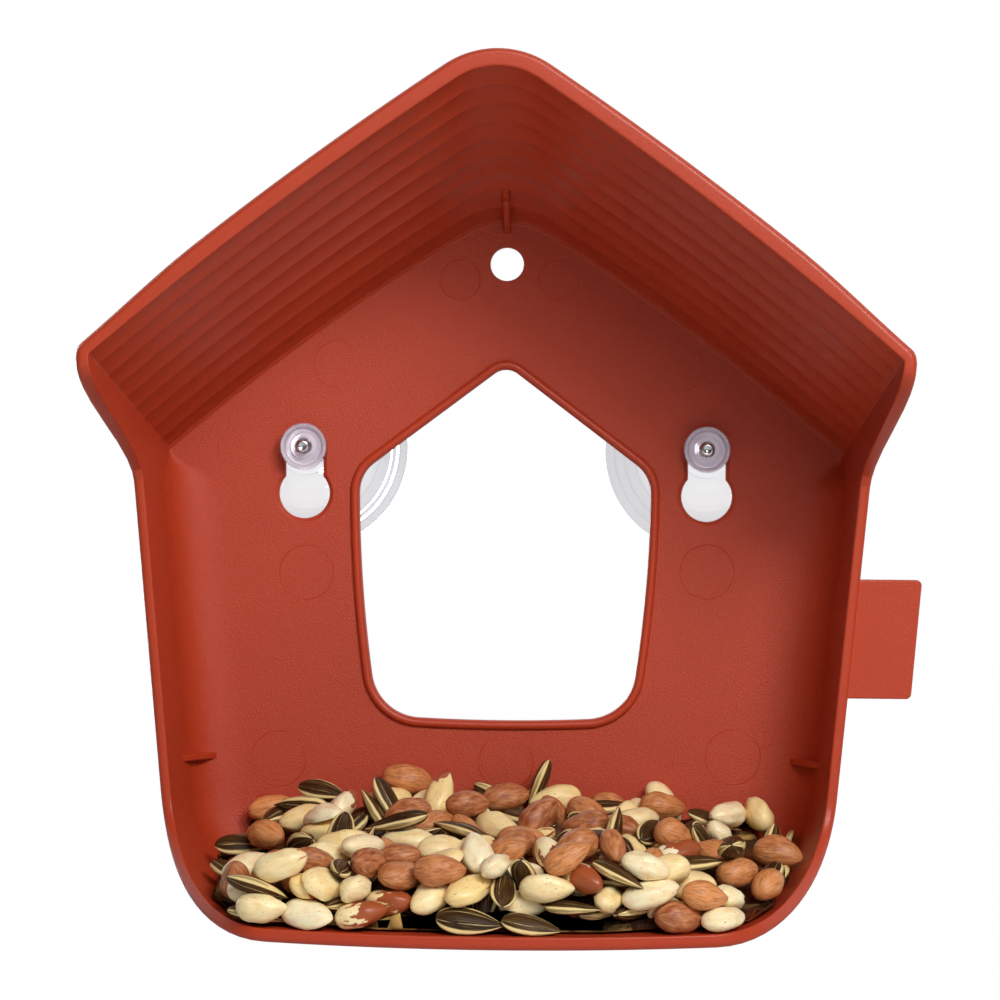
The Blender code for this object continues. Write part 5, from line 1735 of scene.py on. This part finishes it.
def bed_core():
    """The frame's bed with its top drawn down into lumps of a kernel's width."""
    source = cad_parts["seed_bed"].data
    mesh = bpy.data.meshes.new("seed_bed_lumps")
    work = bmesh.new()
    work.from_mesh(source)
    bmesh.ops.remove_doubles(work, verts=work.verts, dist=WELD)
    bmesh.ops.subdivide_edges(work, edges=work.edges, cuts=BED_CUTS, use_grid_fill=True)
    work.normal_update()
    whole = BVHTree.FromBMesh(work)
    front = min(vertex.co.y for vertex in work.verts)
    for vertex in work.verts:
        if vertex.normal.z > 0.3:
            cells = noise.voronoi(vertex.co / BED_LUMP_PITCH)[0]
            near = 1 - ease((vertex.co.y - front) / BED_FRONT_RUN)
            drop = BED_DROP + BED_LUMP * min(1, cells[0]) + BED_FRONT_DROP * near
            start = Vector((vertex.co.x, vertex.co.y, FLOOR_Z))
            below = whole.ray_cast(start, Vector((0, 0, 1)))[0]
            ground = below.z + BED_SKIN if below else vertex.co.z - BED_DROP
            vertex.co.z = min(vertex.co.z, max(vertex.co.z - drop, ground))
    work.to_mesh(mesh)
    work.free()
    smooth(mesh, KERNEL_ANGLE)
    return mesh


class FeederFeedSettings(bpy.types.PropertyGroup):
    """How the feed is drawn and settled"""

    seed: IntProperty(name="Seed", description="Start of the kernels' random sizes and tones",
                      default=7, min=0)
    fillers: IntProperty(name="Fillers", description="Kernels beside those that the photo shows",
                         default=40, min=0, max=200)
    frames: IntProperty(name="Settling frames", description="How long the kernels may settle",
                        default=70, min=1, max=250)


class FEEDER_OT_bed(bpy.types.Operator):
    """Models the heap of feed under its top layer"""

    bl_idname = "feeder.bed"
    bl_label = "Seed bed"

    def execute(self, context):
        bed = new_object("seed_bed_core", bed_core(), mixed_feed())
        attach(bed, "house")
        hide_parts("seed_bed")
        return {'FINISHED'}


class FEEDER_OT_kernels(bpy.types.Operator):
    """Models the loose kernels and lets those that the frame doesn't hold settle on the heap"""

    bl_idname = "feeder.kernels"
    bl_label = "Loose kernels"

    def execute(self, context):
        settings = context.scene.feeder_feed
        rng = random.Random(settings.seed)
        materials = {"sunflower_seed": sunflower_husk(), "peanut": peanut_skin(),
                     "blanched_peanut": blanched_flesh()}
        letters = {"sunflower_seed": "s", "peanut": "p", "blanched_peanut": "b"}
        lying = []
        for name in sorted(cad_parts):
            sort = name.rsplit("_", 1)[0]
            if sort not in letters:
                continue
            kernel = Kernel(letters[sort], rng, placed_as(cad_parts[name]))
            kernel.size = tuple(value * LYING_SHARE for value in KERNEL_SIZES[sort])
            lying.append(kernel)
            piece = new_object(name + "_kernel", kernel_mesh(name, [kernel]), materials[sort])
            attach(piece, "house")
            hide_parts(name)
        bed = bvh_of(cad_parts["seed_bed"])
        loose = [Kernel(letter, rng, seen_place(x, y, heading, bed), LOOSE_FACTORS)
                 for letter, x, y, heading in SEEN_KERNELS_PX]
        loose += self.fillers(settings.fillers, rng, bed)
        drawn_inside(loose)
        raised_clear(loose, lying)
        core = bpy.data.objects["seed_bed_core"].data
        settle(loose, lying, core, settings.frames, SUBSTEPS)
        loose = [kernel for kernel in loose if in_tray(kernel)]
        if not loose:
            raise RuntimeError("no loose kernel stayed in the tray")
        for sort, material in materials.items():
            group = [kernel for kernel in loose if kernel.sort == sort]
            name = "loose_" + sort + "s"
            piece = new_object(name, kernel_mesh(name, group), material)
            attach(piece, "house")
        return {'FINISHED'}

    def fillers(self, count, rng, bed):
        """Kernels at the front edge, at the sides and over the heap, to close its gaps."""
        kernels = []
        low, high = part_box("seed_bed")
        for number in range(count):
            letter = "s"
            if number % HEAP_EVERY:
                letter = FILLER_LETTERS[number % len(FILLER_LETTERS)]
                share = number * GOLDEN_SHARE % 1
                spot = Vector((mix(low.x, high.x, share), low.y - FILLER_REACH,
                               low.z + FILLER_RISE))
                turn = rng.uniform(-FILLER_TURN, FILLER_TURN)
            else:
                spot = Vector((rng.uniform(low.x, high.x), rng.uniform(low.y, high.y), 0))
                ground = bed.ray_cast(spot, Vector((0, 0, -1)))[0]
                spot.z = (ground.z if ground else low.z) + 2 * TOP_LAYER_RISE
                turn = rng.uniform(0, math.pi)
            place = Matrix.Translation(spot) @ Matrix.Rotation(turn, 4, 'Z')
            kernels.append(Kernel(letter, rng, place, LOOSE_FACTORS))
        return kernels


# Stage
FLOOR_Z = -0.175
FLOOR_R = 3.0
FLOOR_SIDES = 96
KEY_PLACE = (0.61, -1.16, 0.69)
FILL_PLACE = (0.21, -1.30, 0.69)
FRONT_LAMP_SIZE = 0.45
BACK_PLACE = (-0.55, 1.20, 0.12)
BACK_LAMP_SIZE = 0.6


class FeederStageSettings(bpy.types.PropertyGroup):
    """Paper, lamps and world"""

    paper: FloatVectorProperty(
        name="Paper", description="Colour of the studio paper", subtype='COLOR', size=3,
        min=0, max=1, default=linear("EFEFEF")[:3])
    whiteness: FloatProperty(
        name="Whiteness", description="How white the paper is to the camera", default=0.995,
        min=0, max=1, subtype='FACTOR')
    key: FloatProperty(
        name="Key light", description="Power of the lamp at the upper right, in watts",
        default=11.7, min=0)
    fill: FloatProperty(
        name="Fill light", description="Power of the lamp over the camera, in watts",
        default=6.9, min=0)
    back: FloatProperty(
        name="Back light", description="Power of the lamp beyond the window pane, in watts",
        default=8.0, min=0)
    sky: FloatProperty(
        name="Room light", description="Strength of the even light from all sides",
        default=0.08, min=0)


class FEEDER_OT_stage(bpy.types.Operator):
    """Builds the pale floor, the lamps, the world and the camera"""

    bl_idname = "feeder.stage"
    bl_label = "Stage"

    def execute(self, context):
        settings = context.scene.feeder_stage
        self.floor(settings)
        self.world(settings)
        self.lamp("key_light", KEY_PLACE, FRONT_LAMP_SIZE, settings.key)
        self.lamp("fill_light", FILL_PLACE, FRONT_LAMP_SIZE, settings.fill)
        self.lamp("back_light", BACK_PLACE, BACK_LAMP_SIZE, settings.back)
        self.camera(context)
        return {'FINISHED'}

    def floor(self, settings):
        circle = arc((0, 0), FLOOR_R, 0, 2 * math.pi, FLOOR_SIDES)[:-1]
        mesh = bpy.data.meshes.new("floor")
        mesh.from_pydata([(x, y, FLOOR_Z) for x, y in circle], [], [tuple(range(FLOOR_SIDES))])
        new_object("floor", mesh, seamless_paper(settings))

    def world(self, settings):
        world = bpy.data.worlds.new("studio")
        bpy.context.scene.world = world
        world.use_nodes = True
        tree = world.node_tree
        room = tree.nodes["Background"]
        room.inputs["Color"].default_value = linear("FFFFFF")
        room.inputs["Strength"].default_value = settings.sky
        white = add_node(tree, "ShaderNodeBackground", values={"Strength": 1.0,
                                                               "Color": linear("FFFFFF")})
        way = add_node(tree, "ShaderNodeTexCoord").outputs["Generated"]
        seen = backdrop_share(tree, way, HORIZON_FRONT, HORIZON_BACK)
        both = add_node(tree, "ShaderNodeMixShader",
                        links={0: seen, 1: room.outputs[0], 2: white.outputs[0]})
        tree.links.new(both.outputs[0], tree.nodes["World Output"].inputs["Surface"])

    def lamp(self, name, place, size, power):
        data = bpy.data.lights.new(name, 'AREA')
        data.shape = 'DISK'
        data.size = size
        data.energy = power
        lamp = bpy.data.objects.new(name, data)
        bpy.context.scene.collection.objects.link(lamp)
        lamp.location = place
        aim = Vector(CAMERA_TARGET) - Vector(place)
        lamp.rotation_euler = aim.to_track_quat('-Z', 'Y').to_euler()

    def camera(self, context):
        data = bpy.data.cameras.new("camera")
        data.sensor_width = SENSOR
        data.lens = FOCAL_PX * SENSOR / PICTURE
        data.clip_start = 0.01
        camera = bpy.data.objects.new("camera", data)
        context.scene.collection.objects.link(camera)
        place, right, up, forward = camera_axes()
        camera.matrix_world = (Matrix.Translation(place)
                               @ Matrix((right, up, -forward)).transposed().to_4x4())
        context.scene.camera = camera
        context.scene.view_settings.view_transform = 'Standard'


STEPS = (FEEDER_OT_shell, FEEDER_OT_cups, FEEDER_OT_screws, FEEDER_OT_nuts, FEEDER_OT_bed,
         FEEDER_OT_kernels, FEEDER_OT_stage)
SETTINGS = {"feeder_shell": FeederShellSettings, "feeder_fixings": FeederFixingsSettings,
            "feeder_feed": FeederFeedSettings, "feeder_stage": FeederStageSettings}


class FEEDER_PT_panel(bpy.types.Panel):
    """Lists the feeder's settings and the steps that build it"""

    bl_idname = "FEEDER_PT_panel"
    bl_label = "Window bird feeder"
    bl_space_type = 'VIEW_3D'
    bl_region_type = 'UI'
    bl_category = "Bird feeder"

    def draw(self, context):
        for step in STEPS:
            self.layout.operator(step.bl_idname)
        for name in SETTINGS:
            column = self.layout.column()
            settings = getattr(context.scene, name)
            for item in settings.bl_rna.properties:
                if item.identifier not in ("rna_type", "name"):
                    column.prop(settings, item.identifier)


def register():
    for name, group in SETTINGS.items():
        bpy.utils.register_class(group)
        setattr(bpy.types.Scene, name, PointerProperty(type=group))
    for step in (*STEPS, FEEDER_PT_panel):
        bpy.utils.register_class(step)


def unregister():
    for step in (FEEDER_PT_panel, *reversed(STEPS)):
        bpy.utils.unregister_class(step)
    for name, group in SETTINGS.items():
        delattr(bpy.types.Scene, name)
        bpy.utils.unregister_class(group)


def main():
    register()
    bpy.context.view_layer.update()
    bpy.ops.feeder.shell()
    bpy.ops.feeder.cups()
    bpy.ops.feeder.screws()
    bpy.ops.feeder.nuts()
    bpy.ops.feeder.bed()
    bpy.ops.feeder.kernels()
    bpy.ops.feeder.stage()


if __name__ == "__main__":
    main()
